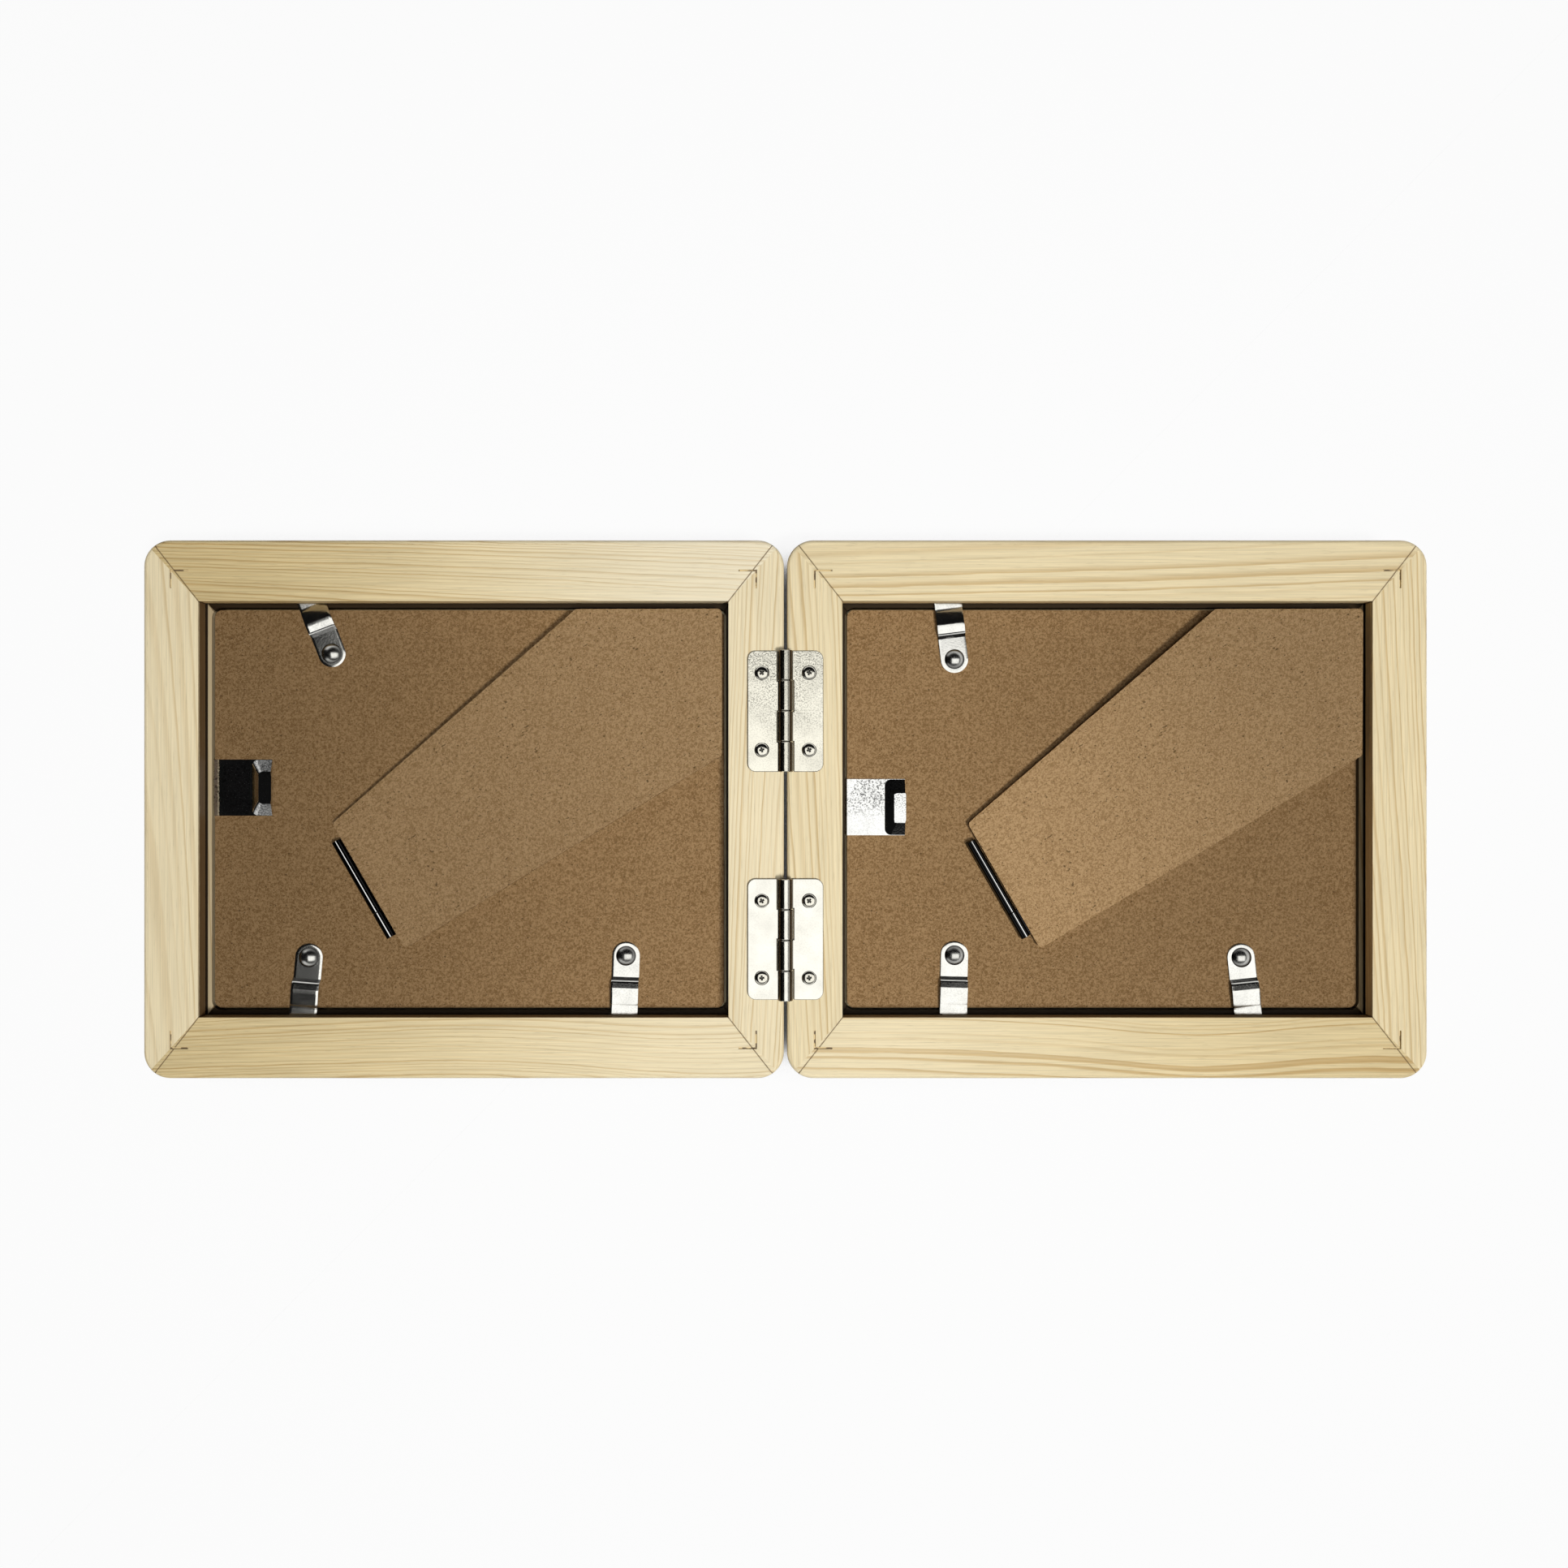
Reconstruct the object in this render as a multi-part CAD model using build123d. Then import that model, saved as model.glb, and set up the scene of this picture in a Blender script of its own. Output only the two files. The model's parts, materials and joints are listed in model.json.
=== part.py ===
from build123d import *
from math import cos, radians, sin, sqrt
import os

# A double photo frame lying face down: +X along the pair, +Y to its top edge, +Z out of its back.
# The origin is the middle of the pair, on the surface that the fronts lie on. All sizes are in mm.

# Wooden frames, one each side of the seam
frame_width = 220.0
frame_height = 185.0
frame_depth = 20.0
seam_gap = 1.1
side_rail = 19.0
end_rail = 21.0
corner_radius = 9.0
back_round = 1.5
front_round = 3.0
sight_round = 1.5
sight_lip = 6.0  # cover of the side rails' front lip over the picture
lip_depth = 5.0
rebate_step = 1.2  # the rebate is this much tighter than the opening behind it
rebate_radius = 3.5
groove_depth = 5.0
groove_height = 2.8
groove_lift = 0.7  # groove floor above the backboard

# V nails across the mitres
nail_leg = 6.0
nail_thickness = 0.5
nail_depth = 8.0
nail_sunk = 0.8
nail_fit = 0.05

# Sheets in the rebate
glass_thickness = 2.0
print_thickness = 0.3
board_thickness = 3.0
sheet_fit = 0.8
sheet_radius = 2.5

# Turn clips, bent from strip, each on its own rivet
clip_width = 9.2
clip_thickness = 0.8
clip_flat = 7.7
clip_step_run = 2.7
clip_rise = 1.8
clip_raised = 6.3
clip_slope_run = 1.85
clip_drop = 0.6
clip_tip = 3.0
clip_tip_round = 1.2
clip_bend = 1.0  # bend radius on the strip's underside
clip_lift = 0.1
rivet_shaft = 3.0
rivet_head = 6.2
rivet_crown = 1.3
rivet_fit = 0.08
rivet_gap = 0.1
# Each clip: place along the rail, rivet's setback from the rail's wall, turn from square to the wall
clip_places = {
    "left": {
        "top_clip": (-47.9, 17.2, 21.0),
        "bottom_outer_clip": (-55.9, 19.6, -5.0),
        "bottom_inner_clip": (54.9, 20.2, -2.0),
    },
    "right": {
        "top_clip": (-51.5, 19.2, 7.0),
        "bottom_inner_clip": (-51.5, 20.4, -1.5),
        "bottom_outer_clip": (48.7, 19.6, 6.0),
    },
}

# Nail hangers, folded round the backboards' left edges
hanger_reach = 20.2
hanger_width = 19.6
hanger_sheet = 0.5
hanger_return = 5.0
hanger_fit = 0.05
hanger_place = {"left": 7.4, "right": 0.6}
hood_length = 7.0
hood_width = 18.8
hood_top_length = 4.0
hood_top_width = 10.4
hood_rise = 1.8
hood_round = 2.0
hood_top_round = 0.8
hood_teeth = 5
hood_tooth_depth = 0.9
hood_tooth_pitch = 1.7

# Easel struts: a board cut to the backboard's top right corner, hinged at its narrow end
strut_thickness = 2.5
strut_lift = 0.3
strut_inset = 0.3
strut_end = 50.6
strut_narrow = 50.3
strut_x = -34.5
strut_y = -26.8
strut_angle = 30.0
strut_rest = 1.7  # how far the strut stands open at rest, in degrees
strut_round = 1.5

# Strut hinges: a long knuckle tabbed through the backboard, a short one on the strut
strut_pin = 1.9
strut_hinge_sheet = 0.7
strut_barrel_length = 38.5
strut_long_knuckle = 28.6
strut_knuckle_gap = 0.2
strut_barrel_lift = 0.15
strut_edge_gap = 0.5
strut_pin_fit = 0.05
strut_foot = 9.0
strut_leaf = 18.0
strut_leaf_fit = 0.1

# Butt hinges across the seam
hinge_height = 41.5
hinge_width = 26.0
hinge_sheet = 1.0
hinge_corner = 2.4
hinge_pin = 3.0
hinge_pin_fit = 0.05
hinge_knuckles = 4
hinge_knuckle_gap = 0.25
hinge_leaf_gap = 0.3
upper_hinge_inset = 58.9  # from the frame's top edge to the hinge's middle
lower_hinge_inset = 48.0  # from its bottom edge
screw_spread_x = 8.1
screw_spread_y = 13.2
screw_head = 5.2
screw_shank = 2.8
screw_length = 13.0
screw_point = 4.0
screw_crown = 0.35
screw_fit = 0.05

# Sizes that follow from those above
opening_width = frame_width - 2 * side_rail
opening_height = frame_height - 2 * end_rail
rebate_width = opening_width - 2 * rebate_step
rebate_height = opening_height - 2 * rebate_step
sight_width = opening_width - 2 * sight_lip
mitre_slope = end_rail / side_rail  # what is cut along a ring's sides grows by this at its ends
sight_height = opening_height - 2 * sight_lip * mitre_slope
sheet_width = rebate_width - 2 * sheet_fit
sheet_height = rebate_height - 2 * sheet_fit
print_base = lip_depth + glass_thickness
board_base = print_base + print_thickness
board_top = board_base + board_thickness
groove_floor = board_top + groove_lift
clip_level = board_top + clip_lift
clip_reach = clip_flat + clip_step_run + clip_raised + clip_slope_run + clip_tip
strut_base = board_top + strut_lift
strut_barrel = strut_pin + 2 * strut_pin_fit + 2 * strut_hinge_sheet
strut_axis_level = board_top + strut_barrel_lift + strut_barrel / 2
strut_axis_offset = strut_barrel / 2 + strut_edge_gap
hinge_barrel = hinge_pin + 2 * hinge_pin_fit + 2 * hinge_sheet
hinge_axis_level = frame_depth + hinge_barrel / 2
hinge_places = {"upper": frame_height / 2 - upper_hinge_inset, "lower": lower_hinge_inset - frame_height / 2}
hinge_knuckle = (hinge_height - (hinge_knuckles - 1) * hinge_knuckle_gap) / hinge_knuckles
nail_top = frame_depth - nail_sunk
nail_low = nail_top - nail_depth
strut_seam = strut_barrel_length / 2 - strut_long_knuckle  # between its two knuckles
side_sign = {"left": -1, "right": 1}
corners = [(1, 1), (-1, 1), (-1, -1), (1, -1)]


def slab(width, height, low, high):
    return Pos(0, 0, (low + high) / 2) * Box(width, height, high - low)


def block(x_low, x_high, y_low, y_high, z_low, z_high):
    middle = ((x_low + x_high) / 2, (y_low + y_high) / 2, (z_low + z_high) / 2)
    return Pos(*middle) * Box(x_high - x_low, y_high - y_low, z_high - z_low)


def rounded_slab(width, height, radius, low, high):
    return Pos(0, 0, low) * extrude(RectangleRounded(width, height, radius), high - low)


def rod(radius, y_low, y_high, x, z):
    return Pos(x, (y_low + y_high) / 2, z) * Rot(90, 0, 0) * Cylinder(radius, y_high - y_low)


def crown_middle(radius, height):
    """The middle of a dome's arc, as a distance from the axis and a height."""
    sphere = (radius**2 + height**2) / (2 * height)
    return radius / 2, height - sphere + sqrt(sphere**2 - (radius / 2) ** 2)


def domed_turning(points, crown_radius, crown_level, crown_height):
    """A turned piece: lines from the axis up the outside, then a dome back to the axis."""
    out, up = crown_middle(crown_radius, crown_height)
    top = crown_level + crown_height
    sides = Polyline(*points, (crown_radius, crown_level))
    dome = ThreePointArc((crown_radius, crown_level), (out, crown_level + up), (0, top))
    middle = Line((0, top), points[0])
    return revolve(Plane.XZ * make_face(sides + dome + middle), Axis.Z)


# Frames

def mitre_point(share):
    """A point on the top right mitre: 0 at the outer corner, 1 at the opening's corner."""
    return frame_width / 2 - share * side_rail, frame_height / 2 - share * end_rail


def corner_nail(sign_x, sign_y, fit, low, high):
    x, y = mitre_point(0.5)
    half = nail_thickness / 2 + fit
    across = block(x - nail_leg - fit, x + half, y - half, y + half, low, high)
    along = block(x - half, x + half, y - nail_leg - fit, y + half, low, high)
    nail = across + along
    if sign_x < 0:
        nail = mirror(nail, Plane.YZ)
    if sign_y < 0:
        nail = mirror(nail, Plane.XZ)
    return nail


def v_nails():
    return [corner_nail(x, y, 0, nail_low, nail_top) for x, y in corners]


def moulding_ring():
    ring = rounded_slab(frame_width, frame_height, corner_radius, 0, frame_depth)
    ring = fillet(ring.edges().group_by(Axis.Z)[-1], back_round)
    ring = fillet(ring.edges().group_by(Axis.Z)[0], front_round)
    ring -= slab(sight_width, sight_height, 0, lip_depth)
    ring -= rounded_slab(rebate_width, rebate_height, rebate_radius, lip_depth, groove_floor)
    ring -= slab(opening_width, opening_height, groove_floor, frame_depth)
    groove_width = opening_width + 2 * groove_depth
    groove_span = opening_height + 2 * groove_depth * mitre_slope
    ring -= slab(groove_width, groove_span, groove_floor, groove_floor + groove_height)
    for x, y in corners:
        ring -= corner_nail(x, y, nail_fit, nail_low - nail_fit, frame_depth)
    return ring


def mitre_wedges():
    """The four prisms that part a ring along its mitres, by the place of their rail."""
    out_x, out_y = mitre_point(-0.5)
    in_x, in_y = mitre_point(1 + 2 * sight_lip / side_rail)
    top = [(-out_x, out_y), (-in_x, in_y), (in_x, in_y), (out_x, out_y)]
    right = [(out_x, out_y), (in_x, in_y), (in_x, -in_y), (out_x, -out_y)]
    outlines = {
        "top": top,
        "right": right,
        "bottom": [(x, -y) for x, y in top],
        "left": [(-x, y) for x, y in right],
    }
    return {
        place: extrude(make_face(Polyline(*points, close=True)), frame_depth)
        for place, points in outlines.items()
    }


def sight_edge(rail):
    """The front inner edge of a rail: of its edges on the front face, the nearest to the middle."""
    return rail.edges().group_by(Axis.Z)[0].sort_by_distance((0, 0, 0))[0]


def rails(side):
    ring = moulding_ring()
    outer = "left" if side == "left" else "right"
    inner = "right" if side == "left" else "left"
    rail_names = {"top": "top_rail", "bottom": "bottom_rail", outer: "outer_rail", inner: "inner_rail"}
    pieces = {}
    for place, wedge in mitre_wedges().items():
        rail = ring & wedge
        pieces[rail_names[place]] = fillet(sight_edge(rail), sight_round)
    seam = Pos(-frame_middle(side), 0, 0)
    for y in hinge_places.values():
        for hole in hinge_screws(side, y, screw_fit):
            pieces["inner_rail"] -= seam * hole
    return pieces


def frame_middle(side):
    return side_sign[side] * (frame_width + seam_gap) / 2


# Sheets in the rebate

def sheet(low, high):
    return rounded_slab(sheet_width, sheet_height, sheet_radius, low, high)


def backboard(side):
    board = sheet(board_base, board_top)
    for x, y, turn in clip_spots(side).values():
        board -= Pos(x, y, board_base) * upright(rivet_shaft / 2 + rivet_fit, board_thickness)
    board -= hanger_spot(side) * hanger_recess()
    return board - strut_spot() * strut_tab(strut_leaf_fit)


# Turn clips and their rivets

def upright(radius, height):
    return Cylinder(radius, height, align=(Align.CENTER, Align.CENTER, Align.MIN))


def clip_spots(side):
    """Each clip's rivet centre and the direction of its tip, in degrees."""
    spots = {}
    for name, (x, setback, turn) in clip_places[side].items():
        upward = 1 if name.startswith("top") else -1
        spots[name] = (x, upward * (opening_height / 2 - setback), upward * 90 + turn)
    return spots


def turn_clip():
    """One clip with its rivet hole on the origin and its tip towards +X, lying on z = 0."""
    steps = [
        (clip_width / 2 + clip_flat, 0),
        (clip_step_run, clip_rise),
        (clip_raised, 0),
        (clip_slope_run, -clip_drop),
        (clip_tip, 0),
    ]
    bends = [(-clip_width / 2, 0)]
    for run, rise in steps:
        bends.append((bends[-1][0] + run, bends[-1][1] + rise))
    underside = FilletPolyline(*bends, radius=clip_bend)
    strip = Plane.XZ * make_face(offset(underside, clip_thickness, side=Side.LEFT))
    strip = extrude(strip, clip_width / 2, both=True)
    tail = Pos(clip_reach / 2, 0) * Rectangle(clip_reach, clip_width)
    tail = fillet(tail.vertices().group_by(Axis.X)[-1], clip_tip_round)
    outline = tail + Circle(clip_width / 2)
    strip &= extrude(outline, clip_rise + clip_thickness)
    return strip - upright(rivet_shaft / 2 + rivet_fit, clip_thickness)


def turn_clips(side):
    clip = turn_clip()
    return {
        name: Pos(x, y, clip_level) * Rot(0, 0, turn) * clip
        for name, (x, y, turn) in clip_spots(side).items()
    }


def clip_rivets(side):
    shaft = rivet_shaft / 2
    head = rivet_head / 2
    seat = clip_level + clip_thickness + rivet_gap
    sides = [(0, board_base), (shaft, board_base), (shaft, seat)]
    rivet = domed_turning(sides, head, seat, rivet_crown)
    return [Pos(x, y, 0) * rivet for x, y, turn in clip_spots(side).values()]


# Nail hangers: x runs inwards from the backboard's left edge

def hanger_spot(side):
    return Pos(-sheet_width / 2, hanger_place[side], 0)


def hanger_recess():
    half = hanger_width / 2 + hanger_fit
    return block(0, hanger_return + hanger_fit, -half, half, board_base, board_base + hanger_sheet)


def hood(low):
    """The raised hood's outer form, its foot at the given level, running on past its open end."""
    foot = RectangleRounded(2 * hood_length, hood_width, hood_round)
    top = RectangleRounded(2 * hood_top_length, hood_top_width, hood_top_round)
    return loft([Pos(hanger_reach, 0, low) * foot, Pos(hanger_reach, 0, low + hood_rise) * top])


def hanger():
    half = hanger_width / 2
    plate_top = board_top + hanger_sheet
    plate = block(0, hanger_reach, -half, half, board_top, plate_top)
    edge = block(-hanger_sheet, 0, -half, half, board_base, plate_top)
    turned_under = block(0, hanger_return, -half, half, board_base, board_base + hanger_sheet)
    past_end = block(hanger_reach, hanger_reach + 2 * hood_length, -half, half, board_base, frame_depth)
    raised = hood(plate_top) - past_end
    piece = plate + raised - hood(board_top) + edge + turned_under
    for count in range(hood_teeth):
        y = (count - (hood_teeth - 1) / 2) * hood_tooth_pitch
        points = [
            (hanger_reach, y - hood_tooth_pitch / 2),
            (hanger_reach - hood_tooth_depth, y),
            (hanger_reach, y + hood_tooth_pitch / 2),
        ]
        notch = make_face(Polyline(*points, close=True))
        piece -= Pos(0, 0, plate_top) * extrude(notch, hood_rise)
    return piece


# Easel struts and their hinges: x runs from the narrow end's edge to the free end, y along the edge

def strut_spot():
    return Pos(strut_x, strut_y, 0) * Rot(0, 0, strut_angle)


def strut_ajar():
    """The small swing about the hinge's pin that a strut has at rest."""
    pin = strut_spot() * Pos(-strut_axis_offset, 0, strut_axis_level)
    return pin * Rot(0, -strut_rest, 0) * pin.inverse()


def strut_outline():
    half = strut_narrow / 2
    across_x = half * sin(radians(strut_angle))
    across_y = half * cos(radians(strut_angle))
    right = sheet_width / 2 - strut_inset
    top = sheet_height / 2 - strut_inset
    points = [
        (strut_x - across_x, strut_y + across_y),
        (strut_x + across_x, strut_y - across_y),
        (right, top - strut_end),
        (right, top),
        (right - strut_end, top),
    ]
    outline = make_face(Polyline(*points, close=True))
    return fillet(outline.vertices(), strut_round)


def strut_leaf_plate(fit):
    """The strut leaf's flat plate, let into the strut's underside."""
    half = strut_barrel_length / 2 + fit
    return block(0, strut_leaf + fit, -half, half, strut_base, strut_base + strut_hinge_sheet)


def strut():
    board = Pos(0, 0, strut_base) * extrude(strut_outline(), strut_thickness)
    return strut_ajar() * (board - strut_spot() * strut_leaf_plate(strut_leaf_fit))


def strut_knuckle(y_low, y_high):
    return rod(strut_barrel / 2, y_low, y_high, -strut_axis_offset, strut_axis_level)


def strut_bore():
    half = strut_barrel_length / 2
    radius = strut_pin / 2 + strut_pin_fit
    return rod(radius, -half, half, -strut_axis_offset, strut_axis_level)


def strut_tab(fit):
    """The board leaf's tab down through the backboard, and its foot let into the underside."""
    low = strut_seam + strut_knuckle_gap / 2 - fit
    high = strut_barrel_length / 2 + fit
    face = -strut_axis_offset - strut_barrel / 2
    foot_top = board_base + strut_hinge_sheet
    tab = block(face - fit, face + strut_hinge_sheet + fit, low, high, board_base, strut_axis_level)
    foot = block(face - strut_foot - fit, face, low, high, board_base, foot_top)
    return tab + foot


def strut_board_leaf():
    knuckle = strut_knuckle(strut_seam + strut_knuckle_gap / 2, strut_barrel_length / 2)
    return strut_spot() * (strut_tab(0) + knuckle - strut_bore())


def strut_moving_leaf():
    low = -strut_barrel_length / 2
    high = strut_seam - strut_knuckle_gap / 2
    neck = block(-strut_axis_offset, 0, low, high, strut_base, strut_base + strut_hinge_sheet)
    leaf = strut_leaf_plate(0) + neck + strut_knuckle(low, high)
    return strut_ajar() * strut_spot() * (leaf - strut_bore())


def strut_hinge_pin():
    half = strut_barrel_length / 2
    return strut_spot() * rod(strut_pin / 2, -half, half, -strut_axis_offset, strut_axis_level)


# Butt hinges across the seam

def hinge_screw(fit):
    """One countersunk screw on the Z axis, its head level with the leaf's face."""
    head = screw_head / 2 + fit
    shank = screw_shank / 2 + fit
    face = frame_depth + hinge_sheet
    neck = face - (screw_head - screw_shank) / 2
    point = face - screw_length - fit
    sides = [(0, point), (shank, point + screw_point), (shank, neck)]
    return domed_turning(sides, head, face, screw_crown)


def hinge_screws(side, y, fit):
    x = side_sign[side] * screw_spread_x
    screw = hinge_screw(fit)
    return [Pos(x, y + up * screw_spread_y, 0) * screw for up in (1, -1)]


def knuckle_span(count):
    """The ends of one of the butt hinge's knuckles, counted from the top."""
    high = hinge_height / 2 - count * (hinge_knuckle + hinge_knuckle_gap)
    return high - hinge_knuckle, high


def hinge_leaf(side, y):
    """A butt hinge leaf: a plate on the rail's back, notched for the other leaf's knuckles."""
    half = hinge_height / 2
    radius = hinge_barrel / 2
    face = frame_depth + hinge_sheet
    leaf = rounded_slab(hinge_width, hinge_height, hinge_corner, frame_depth, face)
    leaf &= block(0, hinge_width, -half, half, frame_depth, face)
    own = 0 if side == "right" else 1
    for count in range(hinge_knuckles):
        low, high = knuckle_span(count)
        if count % 2 == own:
            leaf += rod(radius, low, high, 0, hinge_axis_level)
        else:
            low -= hinge_knuckle_gap
            high += hinge_knuckle_gap
            leaf -= block(0, radius + hinge_leaf_gap, low, high, frame_depth, face)
    leaf -= rod(hinge_pin / 2 + hinge_pin_fit, -half, half, 0, hinge_axis_level)
    if side == "left":
        leaf = mirror(leaf, Plane.YZ)
    leaf = Pos(0, y, 0) * leaf
    for hole in hinge_screws(side, y, screw_fit):
        leaf -= hole
    return leaf


def hinge_pin_rod(y):
    half = hinge_height / 2
    return rod(hinge_pin / 2, y - half, y + half, 0, hinge_axis_level)


# All pieces, by node name

def frame_pieces(side):
    pieces = rails(side)
    pieces["v_nails"] = Compound(v_nails())
    pieces["glass"] = sheet(lip_depth, print_base)
    pieces["print_sheet"] = sheet(print_base, board_base)
    pieces["backboard"] = backboard(side)
    pieces["hanger"] = hanger_spot(side) * hanger()
    pieces["clip_rivets"] = Compound(clip_rivets(side))
    pieces.update(turn_clips(side))
    pieces["strut"] = strut()
    pieces["strut_hinge_board_leaf"] = strut_board_leaf()
    pieces["strut_hinge_strut_leaf"] = strut_moving_leaf()
    pieces["strut_hinge_pin"] = strut_hinge_pin()
    place = Pos(frame_middle(side), 0, 0)
    return {f"{side}_{name}": place * piece for name, piece in pieces.items()}


def hinge_pieces():
    pieces = {}
    for name, y in hinge_places.items():
        for side in side_sign:
            pieces[f"{name}_hinge_{side}_leaf"] = hinge_leaf(side, y)
        pieces[f"{name}_hinge_pin"] = hinge_pin_rod(y)
    for side in side_sign:
        screws = [screw for y in hinge_places.values() for screw in hinge_screws(side, y, 0)]
        pieces[f"{side}_hinge_screws"] = Compound(screws)
    return pieces


nodes = {**frame_pieces("left"), **frame_pieces("right"), **hinge_pieces()}
os.makedirs("parts", exist_ok=True)
for name, shape in nodes.items():
    export_step(shape, f"parts/{name}.step")
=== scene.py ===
import json
from math import atan2, cos, pi, radians, sin

import bmesh
import bpy
from mathutils import Matrix, Vector


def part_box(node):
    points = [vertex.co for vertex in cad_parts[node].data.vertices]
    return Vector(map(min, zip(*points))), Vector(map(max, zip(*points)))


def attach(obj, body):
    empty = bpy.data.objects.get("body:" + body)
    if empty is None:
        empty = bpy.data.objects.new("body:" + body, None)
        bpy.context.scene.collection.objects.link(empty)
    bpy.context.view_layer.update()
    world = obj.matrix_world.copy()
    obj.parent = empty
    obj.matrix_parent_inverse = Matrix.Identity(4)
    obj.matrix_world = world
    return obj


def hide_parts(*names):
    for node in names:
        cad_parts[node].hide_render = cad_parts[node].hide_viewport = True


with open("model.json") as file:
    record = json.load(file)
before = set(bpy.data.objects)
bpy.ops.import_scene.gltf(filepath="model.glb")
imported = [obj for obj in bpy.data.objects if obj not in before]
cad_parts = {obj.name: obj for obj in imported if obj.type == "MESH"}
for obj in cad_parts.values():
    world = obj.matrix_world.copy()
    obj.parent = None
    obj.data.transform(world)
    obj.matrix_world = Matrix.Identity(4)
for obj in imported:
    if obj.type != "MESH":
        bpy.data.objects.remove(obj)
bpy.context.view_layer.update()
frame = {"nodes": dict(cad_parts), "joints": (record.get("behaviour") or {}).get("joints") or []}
nodes = frame["nodes"]
scene = bpy.context.scene
mm = 0.001
sides = ("left", "right")
print("frame loaded:", len(nodes), "nodes")


# Node helpers

def put(tree, kind, ins=None, **settings):  # adds a node, sets it up and wires its inputs
    node = tree.nodes.new("ShaderNode" + kind)
    for key, value in settings.items():
        setattr(node, key, value)
    for key, value in (ins or {}).items():
        if isinstance(value, bpy.types.NodeSocket):
            tree.links.new(value, node.inputs[key])
        else:
            node.inputs[key].default_value = value
    return node.outputs[0]


def after(kind, ins, **settings):  # adds a node to the tree that its inputs come from
    source = next(value for value in ins.values() if isinstance(value, bpy.types.NodeSocket))
    return put(source.id_data, kind, ins, **settings)


def wire(sockets, **values):  # links each value to the socket of its name
    for key, value in values.items():
        value.id_data.links.new(value, sockets[key.replace("_", " ")])


def calc(operation, *values):
    return after("Math", dict(enumerate(values)), operation=operation)


def times(first, second):
    return calc("MULTIPLY", first, second)


def minus(first, second):
    return calc("SUBTRACT", first, second)


def plus(total, *parts):
    for part in parts:
        total = calc("ADD", total, part)
    return total


def vectorCalc(operation, *vectors):
    return after("VectorMath", dict(enumerate(vectors)), operation=operation)


def scaled(color, factor):
    return after("VectorMath", {0: color, "Scale": factor}, operation="SCALE")


def split(vector):
    return after("SeparateXYZ", {0: vector}).node.outputs


def stretch(value, low, high, newLow=0.0, newHigh=1.0):  # a clamped, eased change of range
    ins = {"Value": value, "From Min": low, "From Max": high, "To Min": newLow, "To Max": newHigh}
    return after("MapRange", ins, interpolation_type="SMOOTHSTEP")


def fade(value, edges):  # from 1 down to 0 between two edges
    return stretch(value, *edges, 1.0, 0.0)


def band(value, edges):  # 1 between two soft edges
    return times(stretch(value, *edges[:2]), fade(value, edges[2:]))


def blend(factor, first, second, mode="MIX"):
    ins = {0: factor, 6: first, 7: second}
    return after("Mix", ins, data_type="RGBA", blend_type=mode).node.outputs[2]


def noise(vector, scale, detail=2.0, rough=0.5, swirl=0.0):  # three scales pull it out along one direction
    if isinstance(scale, tuple):
        vector = vectorCalc("MULTIPLY", vector, scale)
        scale = 1.0
    ins = {"Vector": vector, "Scale": scale, "Detail": detail, "Roughness": rough, "Distortion": swirl}
    return after("TexNoise", ins, noise_dimensions="3D")


def sway(value, amount):  # a noise's swing to either side of its middle
    return times(minus(value, 0.5), amount)


def newGroup(name, ins, outs):  # one number makes a Float socket, three a Vector and four a Color
    group = bpy.data.node_groups.new(name, "ShaderNodeTree")
    for label, value in ins.items():
        kind = {3: "Vector", 4: "Color"}[len(value)] if isinstance(value, tuple) else "Float"
        socket = group.interface.new_socket(label, in_out="INPUT", socket_type="NodeSocket" + kind)
        socket.default_value = value
    for label in outs:
        kind = "Color" if label == "Color" else "Float"
        group.interface.new_socket(label, in_out="OUTPUT", socket_type="NodeSocket" + kind)
    return group, group.nodes.new("NodeGroupInput").outputs, group.nodes.new("NodeGroupOutput").inputs


def useGroup(group, ins):
    return after("Group", ins, node_tree=group).node.outputs


def newMaterial(name, **sockets):
    material = bpy.data.materials.new(name)
    material.use_nodes = True
    shader = material.node_tree.nodes["Principled BSDF"].inputs
    for key, value in sockets.items():
        shader[key.replace("_", " ")].default_value = value
    return material, material.node_tree, shader


def inMillimetres(tree, centre=(0, 0, 0), turn=0.0):  # object coordinates from a centre, turned, in mm
    spot = put(tree, "TexCoord").node.outputs["Object"]
    ins = {"Vector": spot, "Location": centre, "Rotation": (0, 0, turn), "Scale": (mm, mm, mm)}
    return put(tree, "Mapping", ins, vector_type="TEXTURE")


def bump(height, depth):
    return after("Bump", {"Height": height, "Strength": 1.0, "Distance": depth})


# Growth rings of pine round a pith, with fibres and pores along the rail

rings = {  # patterns are per mm; a pair is a range of levels, and four numbers change one range to another
    "drift": dict(scale=(0.009, 0.03, 0.03), detail=1.0),
    "ripple": dict(scale=(0.05, 0.25, 0.25)), "rippleWidth": 0.9,
    "uneven": dict(scale=0.35, detail=1.0), "unevenRings": 2.6,
    "ringStrength": (0.0, 1.0, 0.25, 1.0), "summer": (0.46, 0.85, 0.88, 1.0),
    "fibre": dict(scale=(0.03, 1.9, 1.9), detail=3.0, rough=0.6), "fibreShade": (0.3, 0.7, 0.89, 1.07),
    "pores": dict(scale=(0.16, 3.2, 3.2), detail=1.0), "poreRange": (0.66, 0.76), "poreShade": 0.10,
    "patch": dict(scale=(0.012, 0.05, 0.05)), "patchShade": 0.16, "rough": (0.2, 0.8, 0.46, 0.62),
    "summerHeight": 0.5, "poreDepth": 0.6, "fibreHeight": 0.8,
}


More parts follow.
